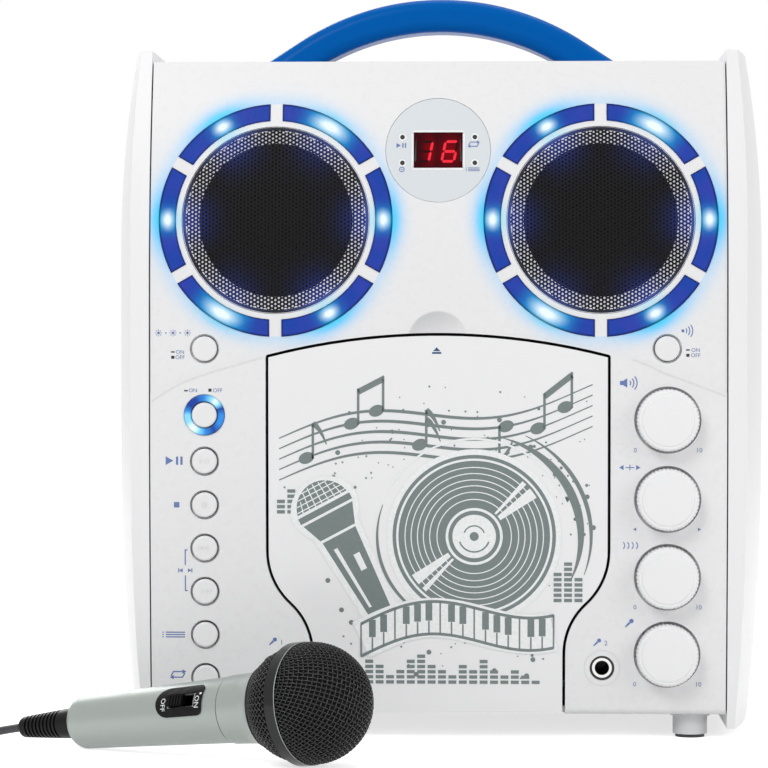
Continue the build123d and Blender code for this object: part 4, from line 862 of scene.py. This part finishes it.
def add_knob(node):
    size = span(node)
    r, depth = size.x / 2, size.y
    base = middle(node) - FRONT * depth / 2
    edge = 1.6
    crown_r, crown_h = 11.4, 0.4
    rim = depth - crown_h
    profile = [(0, 0), (0, r - 0.4), (0.4, r), (rim - edge - 0.4, r),
               *sweep(rim - edge, r - edge, edge, 90, 0, 6),
               (rim, crown_r + 0.5), (rim - 0.05, crown_r + 0.2), (rim, crown_r),
               *sweep(rim, crown_r - crown_h, crown_h, 60, 0, 3), (depth, crown_r * 0.5), (depth - 0.05, 0)]

    def fluted(radius, angle):
        near_rim = max(0.0, min(1.0, (radius - crown_r - 0.3) / 1.2))
        return radius - flute_depth * near_rim * (0.5 - 0.5 * math.cos(flutes * angle)) ** 2

    mesh = lathe(profile, base, FRONT, steps=flutes * 6, flute=fluted)
    piece(node.replace("_knob", "_dial"), mesh, "white_knob", node, node, crease=40)


for node in sorted(nodes):
    if node.endswith("_knob"):
        add_knob(node)


# ---------------- display

# the corners between the segments a to f, which run round a digit; g lies across its middle
corners = ((-1, 2), (1, 2), (1, 0), (1, -2), (-1, -2), (-1, 0))
segment_ends = {letter: (corners[n], corners[(n + 1) % 6]) for n, letter in enumerate("abcdef")}
segment_ends["g"] = (corners[5], corners[2])
lit_segments = {"1": "bc", "6": "acdefg"}


def segment(x, letter):
    """The six-cornered outline of one segment, slanted as the digits are."""
    across, up = digit_width / 2, (digit_height - digit_bar) / 4
    a, b = (Vector((u * across, v * up)) for u, v in segment_ends[letter])
    along = (b - a).normalized()
    beside = Vector((-along.y, along.x)) * digit_bar / 2
    gap, bevel = 0.2 * along, along * digit_bar / 2
    outline = [a + gap, a + gap + bevel + beside, b - gap - bevel + beside,
               b - gap, b - gap - bevel - beside, a + gap + bevel - beside]
    return [(x + c.x + c.y * digit_slant, display_z + digit_z + c.y) for c in outline]


def add_digits():
    lit, dark = Print(), Print()
    for digit, x in (("1", ones_x - digit_pitch), ("6", ones_x)):
        for letter in segment_ends:
            (lit if letter in lit_segments[digit] else dark).convex(segment(x, letter))
    lit.press("digits_lit", display, "digit_red", "display_window", 0.05)
    dark.press("digits_dark", display, "digit_off", "display_window", 0.04)


def add_display_print():
    size = span("display_window")

    def box(larger, r):
        return rounded_box(display_x, display_z, size.x + larger, size.z + larger, r)

    border, outline, dots = Print(), Print(), Print()
    border.area(box(0.2, 1.0), box(-2.0, 0.6))
    outline.area(box(2.2, 1.4), box(0.302, 1.0))
    for x in (display_x - 15.8, display_x + 16.2):
        for z in (display_z + 5.8, display_z - 5.7):
            outline.ring(x, z, 1.7, 1.05)
            dots.disc(x, z, 1.0)
    border.press("window_border", display, "print_black", "display_window", 0.1)
    outline.press("window_outline", display, "print_white", "display_plate")
    dots.press("indicator_dots", display, "print_black", "display_plate", 0.12)


add_digits()
add_display_print()


# ---------------- signs on the panel and the display

class Signs(Print):
    """Small generic signs, about 2.4 high."""

    def triangle(self, x, z, size, turn=0.0):
        self.convex([polar(x, z, size, math.radians(turn + a)) for a in (0, 120, 240)])

    def post(self, x, z, half_width, half_height):
        self.block(x - half_width, z - half_height, x + half_width, z + half_height)

    def play_pause(self):
        self.triangle(-1.9, 0, 1.6)
        self.post(0.9, 0, 0.35, 1.3)
        self.post(2.3, 0, 0.35, 1.3)

    def square(self):
        self.post(0, 0, 1.2, 1.2)

    def skip(self):
        for way in (-1, 1):
            self.triangle(way * 1.7, 0, 1.05, 90 - 90 * way)
            self.post(way * 2.9, 0, 0.2, 0.95)

    def tracks(self):
        for z in (-1.05, 0, 1.05):
            self.disc(-4.6, z, 0.32, 8)
            self.bar(-3.2, z, 5, z, 0.5)

    def loop(self):
        """Two bent arrows that follow each other."""
        for way in (-1, 1):
            self.bar(-way * 1.7, way * 1.1, way * 1.5, way * 1.1, 0.45)
            self.bar(-way * 2.6, -way * 0.4, -way * 1.7, way * 1.1, 0.45)
            self.triangle(way * 2.2, way * 1.1, 1.0, 90 - 90 * way)

    def disco(self):
        """A row of shining lamps."""
        for x in (-6.4, 0, 6.4):
            self.disc(x, 0, 0.6, 10)
            for ray in range(8):
                turn = math.radians(45 * ray)
                self.bar(*polar(x, 0, 0.95, turn), *polar(x, 0, 1.5, turn), 0.24)
        for x in (-3.2, 3.2):
            self.disc(x, 0, 0.35, 8)

    def voice(self):
        """Arcs to the right of a dot."""
        self.disc(-2.6, 0, 0.7, 12)
        self.arcs(-2.6, 0, (1.7, 3.0, 4.3), 0.22, 40, -38, 38)

    def speaker(self):
        self.block(-4.4, -0.9, -3.1, 0.9)
        self.convex([(-3.2, -0.8), (-1.2, -2.1), (-1.2, 2.1), (-3.2, 0.8)])
        self.arcs(-1.2, 0, (1.5, 2.9, 4.3), 0.25, 40, -42, 42)

    def sides(self):
        """Left and right of a middle line."""
        self.triangle(-3.4, 0, 1.3, 180)
        self.triangle(3.4, 0, 1.3)
        self.bar(-1.8, 0, 1.8, 0, 0.4)
        self.bar(0, -1.1, 0, 1.1, 0.4)

    def echoes(self):
        for x in (-4.2, -2.3, -0.4, 1.5):
            self.arcs(x, 0, (2.0,), 0.22, 30, -48, 48)

    def mic(self):
        """A hand-held microphone, leaning to the right."""
        self.disc(0.9, 0.9, 1.0, 14)
        self.convex([(0.5, -0.25), (-0.25, 0.5), (-2.0, -1.6), (-1.6, -2.0)])


def add_panel_signs():
    blue, black = Signs(), Signs()
    for node, sign, dx, dz, *size in (
            ("disco_light_button", blue.disco, -13.9, 7.0), ("play_button", blue.play_pause, -13.4, 0.2, 1.4),
            ("stop_button", blue.square, -12.4, 0), ("program_button", blue.tracks, -14.2, -0.1),
            ("repeat_button", blue.loop, -12.3, 1.3, 1.15), ("avc_button", blue.voice, 9.4, 7.8),
            ("master_volume_knob", blue.speaker, -16.6, 16.3), ("balance_knob", blue.sides, -16.6, 14.0),
            ("echo_knob", blue.echoes, -16.6, 14.0), ("mic_volume_knob", blue.mic, -16.6, 14.0)):
        x, z = place_of(node)
        blue.move(x + dx, z + dz, *size)
        sign()
    # each latching button's two words, with a flat mark for in and a high one for out
    for node, on, flat, off, high in (
            ("disco_light_button", (-10.8, -1.4), (-14.0, -1.4), (-10.8, -3.7), (-14.0, -3.75)),
            ("power_button", (-5.0, 10.9), (-8.1, 10.7), (5.9, 10.9), (2.5, 10.95)),
            ("avc_button", (12.4, -0.6), (9.0, -0.6), (12.4, -2.9), (9.0, -2.95))):
        blue.move(*place_of(node))
        black.move(*place_of(node))
        blue.letters("ON", *on, 1.7)
        blue.letters("OFF", *off, 1.7)
        black.post(*flat, 0.8, 0.3)
        black.post(*high, 0.7, 0.65)
    for name in ("master_volume", "echo", "mic_volume", "balance"):
        blue.move(*place_of(f"{name}_knob"))
        if name == "balance":
            blue.triangle(-14.2, -13.2, 0.9, 180)
            blue.triangle(13.8, -13.2, 0.9)
        else:
            blue.letters("0", -14.2, -13.2, 2.0)
            blue.letters("10", 13.8, -13.2, 2.0)
    x, back_z = place_of("skip_back_button")
    next_z = place_of("skip_forward_button")[1]
    blue.move(x - 8.7, (back_z + next_z) / 2 - 0.3)
    blue.skip()
    blue.move(x - 8.7)
    for end, inner in ((back_z - 0.8, back_z - 7.4), (next_z + 0.3, next_z + 6.9)):
        blue.bar(0, end, 0, inner, 0.5)
        blue.bar(0, end, 0.8, end, 0.5)
    for number, x in (("1", -71.4), ("2", 71.9)):
        blue.move(x - 1.6, 43.2, 0.9)
        blue.mic()
        blue.move()
        blue.letters(number, x + 2.2, 42.9, 2.1)
    blue.press("panel_signs", front, "print_blue", "white_shell")
    black.press("panel_marks", front, "print_black", "white_shell")


def add_creases():
    """Painted shade: the faint line where the panel's lower half starts, beside the door, and one round a socket.
    """
    crease = Print()
    crease.ribbon([(75.7, 170.1), (81.2, 169.2), (87.1, 167.5), (93.4, 164.9), (99.3, 162.0), (109.4, 158.3),
                   (120.6, 154.1), (126.6, 151.8)], 0.9)
    crease.ribbon([(-126.4, 149.4), (-118.8, 154.4), (-112.4, 157.8), (-105.3, 160.5), (-98.6, 162.7),
                   (-91.5, 164.7), (-83.0, 167.2), (-77.2, 168.8)], 0.9)
    crease.ring(72.4, 31.7, 8.1, 7.6, 48)
    crease.press("panel_creases", front, "painted_relief_shade", "white_shell", 0.05)


def add_button_marks():
    """Faint marks moulded into the caps of the player's buttons, given as painted shade on the caps."""
    for name in ("play", "stop", "skip_back", "skip_forward"):
        node = f"{name}_button"
        mark = Signs()
        mark.move(*place_of(node), 0.8 if name == "play" else 1.0)
        if name == "play":
            mark.play_pause()
        elif name == "stop":
            mark.square()
        else:
            way = -1 if name == "skip_back" else 1
            mark.triangle(-1.1, 0, 1.3, 90 - 90 * way)
            mark.triangle(1.1, 0, 1.3, 90 - 90 * way)
            mark.post(way * 2.7, 0, 0.2, 1.1)
        mark.press(f"{name}_mark", Surface(node), "painted_relief_shade", "white_button", 0.04, node)


def add_display_signs():
    blue = Signs()
    for sign, dx, dz, size in ((blue.play_pause, -16.3, 2.1, 0.8), (blue.loop, 15.7, 2.6, 0.85),
                               (blue.tracks, 15.2, -8.6, 0.6)):
        blue.move(display_x + dx, display_z + dz, size)
        sign()
    blue.move(display_x - 16.0, display_z - 8.6)
    blue.ring(0, 0, 1.2, 0.85, 20)
    blue.disc(0, 0, 0.35, 8)
    blue.press("display_signs", display, "print_blue", "display_plate")


def add_eject_sign():
    """On the door's upper edge, where it is pressed to open."""
    sign = Print()
    sign.move(-0.5, door_top)
    sign.convex([(0, -5.0), (-1.6, -6.7), (1.6, -6.7)])
    sign.block(-2.0, -7.9, 2.0, -7.1)
    sign.press("eject_sign", door, "print_teal", "white_door", body="door")


add_creases()
add_panel_signs()
add_button_marks()
add_display_signs()
add_eject_sign()


# ---------------- the design on the door

record_x, record_z = 16.0, 90.0
layer = 0.02                        # between one layer of ink and the next


def staff_height(x):
    return 124 + 0.16 * (x + 70) + 6 * math.sin((x + 70) / 21)


def add_staff(grey):
    """Five wavy lines with notes on them: place, line, way of the stem and number of flags."""
    spacing = 4.6
    for line in range(-2, 3):
        points = [(x, staff_height(x) + line * spacing) for x in range(-70, 69, 3)]
        grey.ribbon(points, lambda t: 0.5 + 0.9 * math.sin(math.pi * min(1.0, t * 1.1)))
    grey.rise += layer
    for x, line, up, flags in ((-58, -1, 1, 1), (-38, 1, 1, 0), (-27, 2, 1, 0), (-8, -1, 1, 2),
                               (30, 1, -1, 1), (44, 0, 1, 0), (56, 1, 1, 0)):
        z = staff_height(x) + line * spacing
        grey.move(x, z, turn=22)
        grey.convex([(u * 3.5, v * 2.5) for u, v in circle(0, 0, 1)])
        grey.move()
        stem_x, end = x + up * 2.9, z + up * 15
        grey.bar(stem_x, z, stem_x, end, 1.1)
        for n in range(flags):
            top = end - up * 4 * n
            points = [(stem_x + 6 * t, top - up * (7 * t * t + 2 * t)) for t in (0, 0.25, 0.5, 0.75, 1)]
            grey.ribbon(points, lambda t: 2.4 * (1 - t) + 0.5)
    for a, b, line_a, line_b in ((-38, -27, 1, 2), (44, 56, 0, 1)):
        ends = [(x + 2.9, staff_height(x) + line * spacing + 14) for x, line in ((a, line_a), (b, line_b))]
        grey.ribbon(ends, 2.6)


def add_swoosh(grey):
    """Tapered strokes that rise round the record to the upper right."""
    for reach, width, start, end in ((47, 3.4, -26, 74), (51.5, 1.6, -20, 64), (42.8, 1.2, 160, 250)):
        points = [(record_x + u, record_z + 0.96 * v) for u, v in sweep(0, 0, reach, start, end, 30)]
        grey.ribbon(points, lambda t: 0.3 + width * math.sin(math.pi * t))


def add_levels(grey):
    """Columns of a level meter in three places."""
    column_pitch, level_pitch = 4.6, 2.3
    for start_x, base_z, counts in ((-46, 24.5, (2, 4, 3, 5, 4, 2, 3, 5, 6, 4, 3, 2, 4, 3, 5, 3, 2, 3, 2, 1)),
                                    (51, 61, (6, 8, 5)), (-71, 100, (3, 5, 4))):
        for column, count in enumerate(counts):
            for level in range(count):
                x, z = start_x + column * column_pitch, base_z + level * level_pitch
                grey.block(x, z, x + 3.5, z + 1.5)


def add_specks(grey):
    """Spray round the motifs: dots that get fewer with the distance."""
    chance = random.Random(7)
    for _ in range(230):
        a = chance.uniform(0, 2 * math.pi)
        reach = 40 + abs(chance.gauss(0, 15))
        x, z = record_x - 6 + 1.15 * reach * math.cos(a), record_z + reach * math.sin(a)
        width = 70 if z > 88 else 50
        if abs(x) < width and 26 < z < 158:
            grey.disc(x, z, chance.choice((0.3, 0.3, 0.45, 0.45, 0.7, 1.1)), 10)


def add_record(grey, white):
    """A gramophone record with grooves, a shine and a label."""
    grey.move(record_x, record_z)
    white.move(record_x, record_z)
    white.disc(0, 0, 38.5, 72)
    white.ring(0, 0, 43.5, 42.6, 96, 20, 150)
    grey.rise = white.rise + layer
    for outer, inner in ((36, 34.4), (33.4, 12.6), (11.4, 9.6)):
        grey.ring(0, 0, outer, inner, 96)
    grey.disc(0, 0, 2.0, 20)
    grey.ring(0, 0, 7.2, 6.5, 40, 200, 340)
    grey.ring(0, 0, 5.0, 4.4, 30, 20, 160)
    white.rise = grey.rise + layer
    white.arcs(0, 0, (30.5, 27.8, 25.0, 22.4, 19.6, 16.4), 0.22, 96)
    white.rise += layer
    for start, end in ((32, 41), (45, 49), (212, 221), (225, 229)):
        white.ring(0, 0, 32.4, 13.6, 120, start, end)


def both_sides(*points):
    """A shape that is given on one side of its middle line."""
    return [*points, *((u, -v) for u, v in reversed(points) if v)]


def add_hand_mic(grey, white):
    """A microphone held up at the left, its head to the upper left; drawn along x from below its head."""
    grey.move(-47.0, 97.0, turn=118)
    white.move(-47.0, 97.0, turn=118)
    head_u, head_r = 6.0, 12.5
    white.convex([(head_u + 14 * u, 15.5 * v) for u, v in circle(0, 0, 1, 30)])
    white.rise += layer
    white.convex(both_sides((0, 11.5), (-50, 7.5), (-52, 0)))
    grey.rise = white.rise + layer
    grey.convex(sweep(head_u, 0, head_r, -78, 78, 13))
    grey.convex(both_sides((7.2, 12.8), (4.4, 12.8)))
    grey.convex(both_sides((3.2, 12.2), (-6, 8.6)))
    grey.convex(both_sides((-7.2, 8.2), (-46, 5.2), (-48, 2.5)))
    white.rise = grey.rise + layer
    for u in (9.6, 12.0, 14.4, 16.6):
        half = math.sqrt(head_r ** 2 - (u - head_u) ** 2) - 0.4
        white.bar(u, half, u, -half, 0.45)
    white.rise += layer
    for v in (-9.6, -6.4, -3.2, 0, 3.2, 6.4, 9.6):
        white.bar(8.2, v, head_u + math.sqrt(head_r ** 2 - v * v) - 0.6, v * 0.86, 0.45)
    white.convex([(-12, 5.2), (-42, 3.4), (-42, 2.2), (-12, 3.4)])
    white.convex([(-18, -1.4), (-26, -1.2), (-26, -4.0), (-18, -4.4)])


def add_keys(grey, white):
    """A keyboard that follows a wave across the bottom."""
    half = 7.2

    def middle_z(x):
        return 48 + 0.12 * x + 6.5 * math.sin((x + 34) / 17)

    line = [(x, middle_z(x)) for x in range(-34, 52)]
    white.ribbon(line, 2 * half + 3.2)
    grey.rise = white.rise + layer
    for way in (-half, half):
        grey.ribbon([(x, z + way) for x, z in line], 1.3)
    for n, x in enumerate(range(-34, 52, 5)):
        z = middle_z(x)
        if n % 7 in (0, 3):
            grey.bar(x, z - half, x, z + half, 0.7)
        else:
            grey.block(x - 1.5, z - 1.2, x + 1.5, z + half - 0.6)
            grey.bar(x, z - half, x, z - 1.6, 0.7)


def add_door_design():
    """Two inks in layers: what lies further back first, then each motif with a white edge round it."""
    grey, white = Print(), Print()
    add_staff(grey)
    add_swoosh(grey)
    grey.rise += layer
    add_levels(grey)
    grey.rise += layer
    add_specks(grey)
    for motif in (add_record, add_hand_mic, add_keys):
        white.rise = max(grey.rise, white.rise) + layer
        motif(grey, white)
        grey.move()
        white.move()
    grey.press("door_design_grey", door, "print_grey", "white_door", body="door")
    white.press("door_design_white", door, "print_white", "white_door", body="door")


add_door_design()


# ---------------- the microphone

mic_facing, mic_beside = frame_of(mic_axis, Vector((0, *polar(0, 0, 1, math.radians(153)))))
mic_mesh_r = 25.5
mic_band_half = 2.35
wire_pitch = 2.1
wire_d = 0.66
weave = 0.28


def mic_out(angle):
    """The direction out from the microphone's axis at an angle round it from the switch's side."""
    return math.cos(angle) * mic_facing + math.sin(angle) * mic_beside


def mic_place(s, radius=0, angle=0.0):
    """A place on the microphone, s along its axis."""
    return mic_tail + s * mic_axis + radius * mic_out(angle)


def front_wires():
    """Two crossing sets of wires over the round end of the head."""
    paths = []
    reach = mic_mesh_r * math.acos((mic_band_s + mic_band_half - mic_head_s) / mic_mesh_r)
    rows = int(reach / wire_pitch)
    for across in (False, True):
        for row in range(-rows, rows + 1):
            offset = row * wire_pitch
            length = math.sqrt(reach ** 2 - offset ** 2)
            steps = max(8, int(4 * length / wire_pitch))
            path = []
            for i in range(steps + 1):
                run = -length + 2 * length * i / steps
                u, v = (run, offset) if across else (offset, run)
                wave = weave * math.cos(math.pi * (run / wire_pitch + row))
                radius = mic_mesh_r - wire_d / 2 - weave + (-wave if across else wave)
                s, r = polar(mic_head_s, 0, radius, math.hypot(u, v) / mic_mesh_r)
                path.append(mic_place(s, r, math.atan2(v, u)))
            paths.append(path)
    return paths


rear_s, rear_r = 92.2, 17.0         # where the mesh meets the handle
rear_swell = 1.0


def rear_profile(t):
    """The mesh between the handle (t 0) and the band (t 1): distance along the axis, and radius."""
    end_s = mic_band_s - mic_band_half
    end_r = math.sqrt(mic_mesh_r ** 2 - (mic_head_s - end_s) ** 2)
    bulge = 4 * t * (1 - t) * rear_swell
    return rear_s + t * (end_s - rear_s) - bulge, rear_r + t * (end_r - rear_r) + bulge


def rear_wires():
    """Wires that wind both ways round the cone behind the band."""
    paths = []
    count = 56
    length = math.dist(rear_profile(0), rear_profile(1)) * 1.06
    for way in (1, -1):
        for wire in range(count):
            start = 2 * math.pi * wire / count
            turn = 0.0
            path = []
            for i in range(count + 1):
                s, r = rear_profile(i / count)
                wave = way * weave * math.cos(count * turn)
                path.append(mic_place(s, r - wire_d / 2 - weave + wave, start + way * turn))
                turn += length / count / r
            paths.append(path)
    return paths


def add_foam():
    inside = 1.6
    cone = [rear_profile(t / 8) for t in range(9)]
    profile = [(cone[0][0], 0), *((s, r - inside) for s, r in cone)]
    profile += sweep(mic_head_s, 0, mic_mesh_r - inside, 100, 0, 16)
    piece("mic_foam", lathe(profile, mic_tail, mic_axis, mic_facing, steps=72), "head_foam", "microphone",
          slot="mic_mesh", crease=60)


def add_band_highlight():
    """A thin silver ring at the band's edge towards the front mesh, as a painted highlight along that edge."""
    path = [mic_place(mic_band_s + mic_band_half, mic_mesh_r - 0.05, 2 * math.pi * i / 96) for i in range(96)]
    wires("mic_band_line", [path], 0.5, "mic_silver", "microphone", closed=True)


wires("mic_wires", front_wires() + rear_wires(), wire_d, "mic_mesh", "microphone", "mic_grille")
add_foam()
add_band_highlight()

switch_low_s, switch_high_s = 42.2, 66.8
switch_half = 6.8
slot_s = 55.6
handle = Surface("mic_handle")


def on_handle(shape, lift):
    """A Print's shapes laid on the handle: x is the distance along it, z the arc length round it."""
    bm = shape.bm
    for normal in (Vector((1, 0, 0)), UP):
        shape.slice(normal, 1.5)
    for v in bm.verts:
        axis_place, out = mic_place(v.co.x), mic_out(-v.co.z / 13.3)
        v.co = handle.hit(axis_place + out * 30, -out) + out * lift
    bmesh.ops.remove_doubles(bm, verts=bm.verts, dist=1e-3)
    face_out(bm, lambda place: place - mic_tail - (place - mic_tail).dot(mic_axis) * mic_axis)
    return bm


def plate_outline():
    """The switch plate: round towards the tail, nearly straight towards the head."""
    r, corner = 6.2, 2.4
    return [*((switch_low_s + r + r * u, switch_half * v) for u, v in sweep(0, 0, 1, 90, 270, 12)),
            *sweep(switch_high_s - corner, corner - switch_half, corner, -90, 0, 4),
            *sweep(switch_high_s - corner, switch_half - corner, corner, 0, 90, 4)]


def add_switch_plate():
    well, plate, words = Print(), Print(), Print()
    well.area(rounded_box(slot_s, 0, 13.4, 7.0, 1.6))
    piece("mic_switch_well", on_handle(well, 0.03), "mic_black", "microphone")
    plate.area(plate_outline(), rounded_box(slot_s, 0, 12.8, 5.8, 1.0))
    obj = piece("mic_switch_plate", on_handle(plate, 0.05), "mic_black", "microphone")
    thicken(obj, 0.55, 1)
    bevel = obj.modifiers.new("edge", "BEVEL")
    bevel.width = 0.2 * MM
    bevel.segments = 2
    words.block(65.3, 1.7, 66.5, 2.5)
    for text, s in (("ON", 64.5), ("OFF", 46.4)):
        words.move(s, -1.3, turn=-90)
        words.letters(text, 0, 0, 2.3)
    piece("mic_switch_words", on_handle(words, 0.66), "print_white", "microphone", slot="mic_black")


add_switch_plate()


# ---------------- plug, coil tie and cord

def add_plug():
    """Black moulded boot and barrel, and a plated pin with insulating rings."""
    along = Vector((*polar(0, 0, 1, math.radians(98)), 0))
    boot, start = 9, 36             # where the barrel and the pin begin
    body = [(0, 0), (0, 2.3)]
    for rib in range(5):
        s, low, high = 1 + rib * 1.6, 2.5 + 0.2 * rib, 3.0 + 0.14 * rib
        body += [(s, low), (s + 0.1, high), (s + 0.9, high), (s + 1.0, low)]
    body += [*sweep(boot + 1.5, 4.0, 1.5, 180, 90, 4), (boot + 6, 5.5)]
    for groove in range(4):
        s = boot + 8 + groove * 1.6
        body += [(s, 5.55), (s + 0.3, 5.2), (s + 0.7, 5.2), (s + 1.0, 5.55)]
    body += [*sweep(start - 1.2, 4.4, 1.2, 90, 0, 4), (start, 0)]
    pin = [(0, 0), (0, 4.6), (1.0, 4.6), (1.2, 3.15), (11, 3.15), (11.1, 3.0), (12, 3.0), (12.1, 3.15),
           (24.6, 3.15), (25.4, 2.3), (26.2, 2.3), (27.3, 3.1), (29.3, 1.5), (30, 0.9), (30, 0)]
    ring = [(11.05, 2.9), (11.05, 3.17), (12.05, 3.17), (12.05, 2.9), (11.05, 2.9)]
    made = []
    for name, profile, from_s, steps, crease, material, *replaced in (
            ("plug_barrel", body, 0, 48, 35, "mic_black"),
            ("plug_pin", pin, start, 40, 30, "plug_metal", "mic_plug"),
            ("plug_ring", ring, start, 40, 30, "black_socket")):
        mesh = lathe([(from_s + s, r) for s, r in profile], route[-1], along, steps=steps)
        slot = "plug_metal" if name == "plug_barrel" else material
        made.append(piece(name, mesh, material, "microphone", *replaced, slot=slot, crease=crease))
    return made


def add_tie():
    """A flat strap wound once round the coil's turns, with its end folded over."""
    out = Vector((*polar(0, 0, 1, math.radians(35)), 0))
    side = UP.cross(out)
    inner, outer, low, top = 11.4, 30.7, 0.25, 16.8
    width = 8
    section = rounded_box((inner + outer) / 2, (low + top) / 2, outer - inner, top - low, 4, 6)
    section.append(section[0])
    section += [(x, z + 0.75) for x, z in reversed(section[18:26])]
    bm = bmesh.new()
    rows = []
    for x, z in section:
        place = Vector((*coil_centre, z)) + out * x
        rows.append([bm.verts.new(place + side * width * (t - 0.5)) for t in (0, 0.25, 0.5, 0.75, 1)])
    for a, b in zip(rows, rows[1:]):
        join(bm, a, b, closed=False)
    tie = piece("cord_tie", bm, "head_foam", "microphone", slot="cord_rubber", crease=60)
    thicken(tie, 0.7, 0)
    return tie


plug_parts = add_plug()
tie = add_tie()
cord.data.materials.append(materials["cord_rubber"])
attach(cord, "microphone")
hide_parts("mic_cord", "mic_cord_coil")


# ---------------- screws and sockets at the back

recess_half, recess_reach = 0.55, 2.1


def cross_radius(angle):
    """How far the cross recess reaches in a direction."""
    a = abs((angle + math.pi / 4) % (math.pi / 2) - math.pi / 4)
    return min(recess_reach / math.cos(a), recess_half / max(math.sin(a), 1e-6))


def screw_head(bm, x, z, y, turn):
    """A domed head with a cross recess, its rim at y."""
    steps = 48
    rings = []
    for radius, height in ((3.6, 0.0), (3.6, 0.5), (3.312, 1.05), (2.7, 1.45), (None, 1.6), (None, 0.5)):
        ring = []
        for i in range(steps):
            a = 2 * math.pi * i / steps
            u, v = polar(x, z, radius or cross_radius(a) * (1.0 if height > 1 else 0.75), a + turn)
            ring.append(bm.verts.new((u, y + height, v)))
        rings.append(ring)
    for a, b in zip(rings, rings[1:]):
        join(bm, a, b)
    bm.faces.new(rings[-1])
    bm.faces.new(rings[0])


def add_screws():
    """Heads on all the cabinet screws, each turned a little differently."""
    groups = {}
    for v in nodes["cabinet_screws"].data.vertices:
        place = v.co / MM
        groups.setdefault((place.x > 0, round(place.z / 30)), []).append(place)
    bm = bmesh.new()
    for n, points in enumerate(groups.values()):
        x, z = ((min(across) + max(across)) / 2 for across in ([p.x for p in points], [p.z for p in points]))
        screw_head(bm, x, z, max(p.y for p in points) - 1.6, 0.4 + 1.1 * n)
    bmesh.ops.recalc_face_normals(bm, faces=bm.faces)
    piece("screw_heads", bm, "zinc_screw", "cabinet", "cabinet_screws", crease=35)


def add_socket_rings():
    """Coloured rings in the four phono sockets."""
    sockets = Surface("rear_sockets")
    z = 52
    ring = [(0, 4.3), (0, 6.3), (0.9, 6.3), (1.1, 6.1), (1.1, 4.3), (0, 4.3)]
    for n, material in enumerate(("socket_yellow", "socket_white", "socket_red", "black_socket")):
        x = (n - 2) * 16
        y = sockets.hit(Vector((x + 5.2, 300, z)), FRONT).y
        piece(f"phono_ring_{n + 1}", lathe(ring, Vector((x, y, z)), -FRONT, steps=48), material, "cabinet",
              slot="black_socket", crease=30)


add_screws()
add_socket_rings()


# ---------------- floor, light and background

def show_background(tree, lit, plain, output):
    """Shows plain to the camera and in reflections, and gives the light of lit."""
    rays = tree.nodes.new("ShaderNodeLightPath").outputs
    seen = rays["Is Camera Ray"]
    for name in ("Is Glossy Ray", "Is Transmission Ray"):
        either = tree.nodes.new("ShaderNodeMath")
        either.operation = "MAXIMUM"
        tree.links.new(seen, either.inputs[0])
        tree.links.new(rays[name], either.inputs[1])
        seen = either.outputs[0]
    mix = tree.nodes.new("ShaderNodeMixShader")
    for source, socket in zip((seen, lit.outputs[0], plain.outputs[0]), mix.inputs):
        tree.links.new(source, socket)
    tree.links.new(mix.outputs[0], tree.nodes[output].inputs["Surface"])


def add_world():
    scene.world = bpy.data.worlds.new("studio")
    scene.world.use_nodes = True
    tree = scene.world.node_tree
    lit = tree.nodes["Background"]
    plain = tree.nodes.new("ShaderNodeBackground")
    for shader, strength in ((lit, 0.52), (plain, 1.0)):
        shader.inputs["Color"].default_value = (1, 1, 1, 1)
        shader.inputs["Strength"].default_value = strength
    show_background(tree, lit, plain, "World Output")


def add_floor():
    data = bpy.data.meshes.new("floor")
    half = 6.0
    corners = [(x * half, z * half, 0) for x, z in ((-1, -1), (1, -1), (1, 1), (-1, 1))]
    data.from_pydata(corners, [], [(0, 1, 2, 3)])
    floor = bpy.data.objects.new("floor", data)
    scene.collection.objects.link(floor)
    g = Graph("floor_white", (0.86, 0.86, 0.86, 1), Roughness=0.9, specular=0.0)
    glow = g.add("ShaderNodeEmission", (1, 1, 1, 1), 0.66)
    both = g.tree.nodes.new("ShaderNodeAddShader")
    g.tree.links.new(g.shader.outputs[0], both.inputs[0])
    g.tree.links.new(glow.socket, both.inputs[1])
    show_background(g.tree, g.shader, both, "Material Output")
    data.materials.append(g.material)


def add_lamp(name, place, size, power):
    data = bpy.data.lights.new(name, "AREA")
    data.shape = "DISK"
    data.size = size
    data.energy = power
    aim_at(bpy.data.objects.new(name, data), place, (0, 0, 0.12))


scene.view_settings.view_transform = "Standard"
add_world()
add_floor()
add_lamp("key", (-0.9, -1.8, 1.6), 1.1, 20)
add_lamp("fill", (1.6, -1.3, 0.9), 1.2, 8)
add_lamp("top", (0.2, 0.5, 2.0), 1.4, 11)
add_lamp("rear", (-0.9, 1.8, 1.2), 1.2, 12)
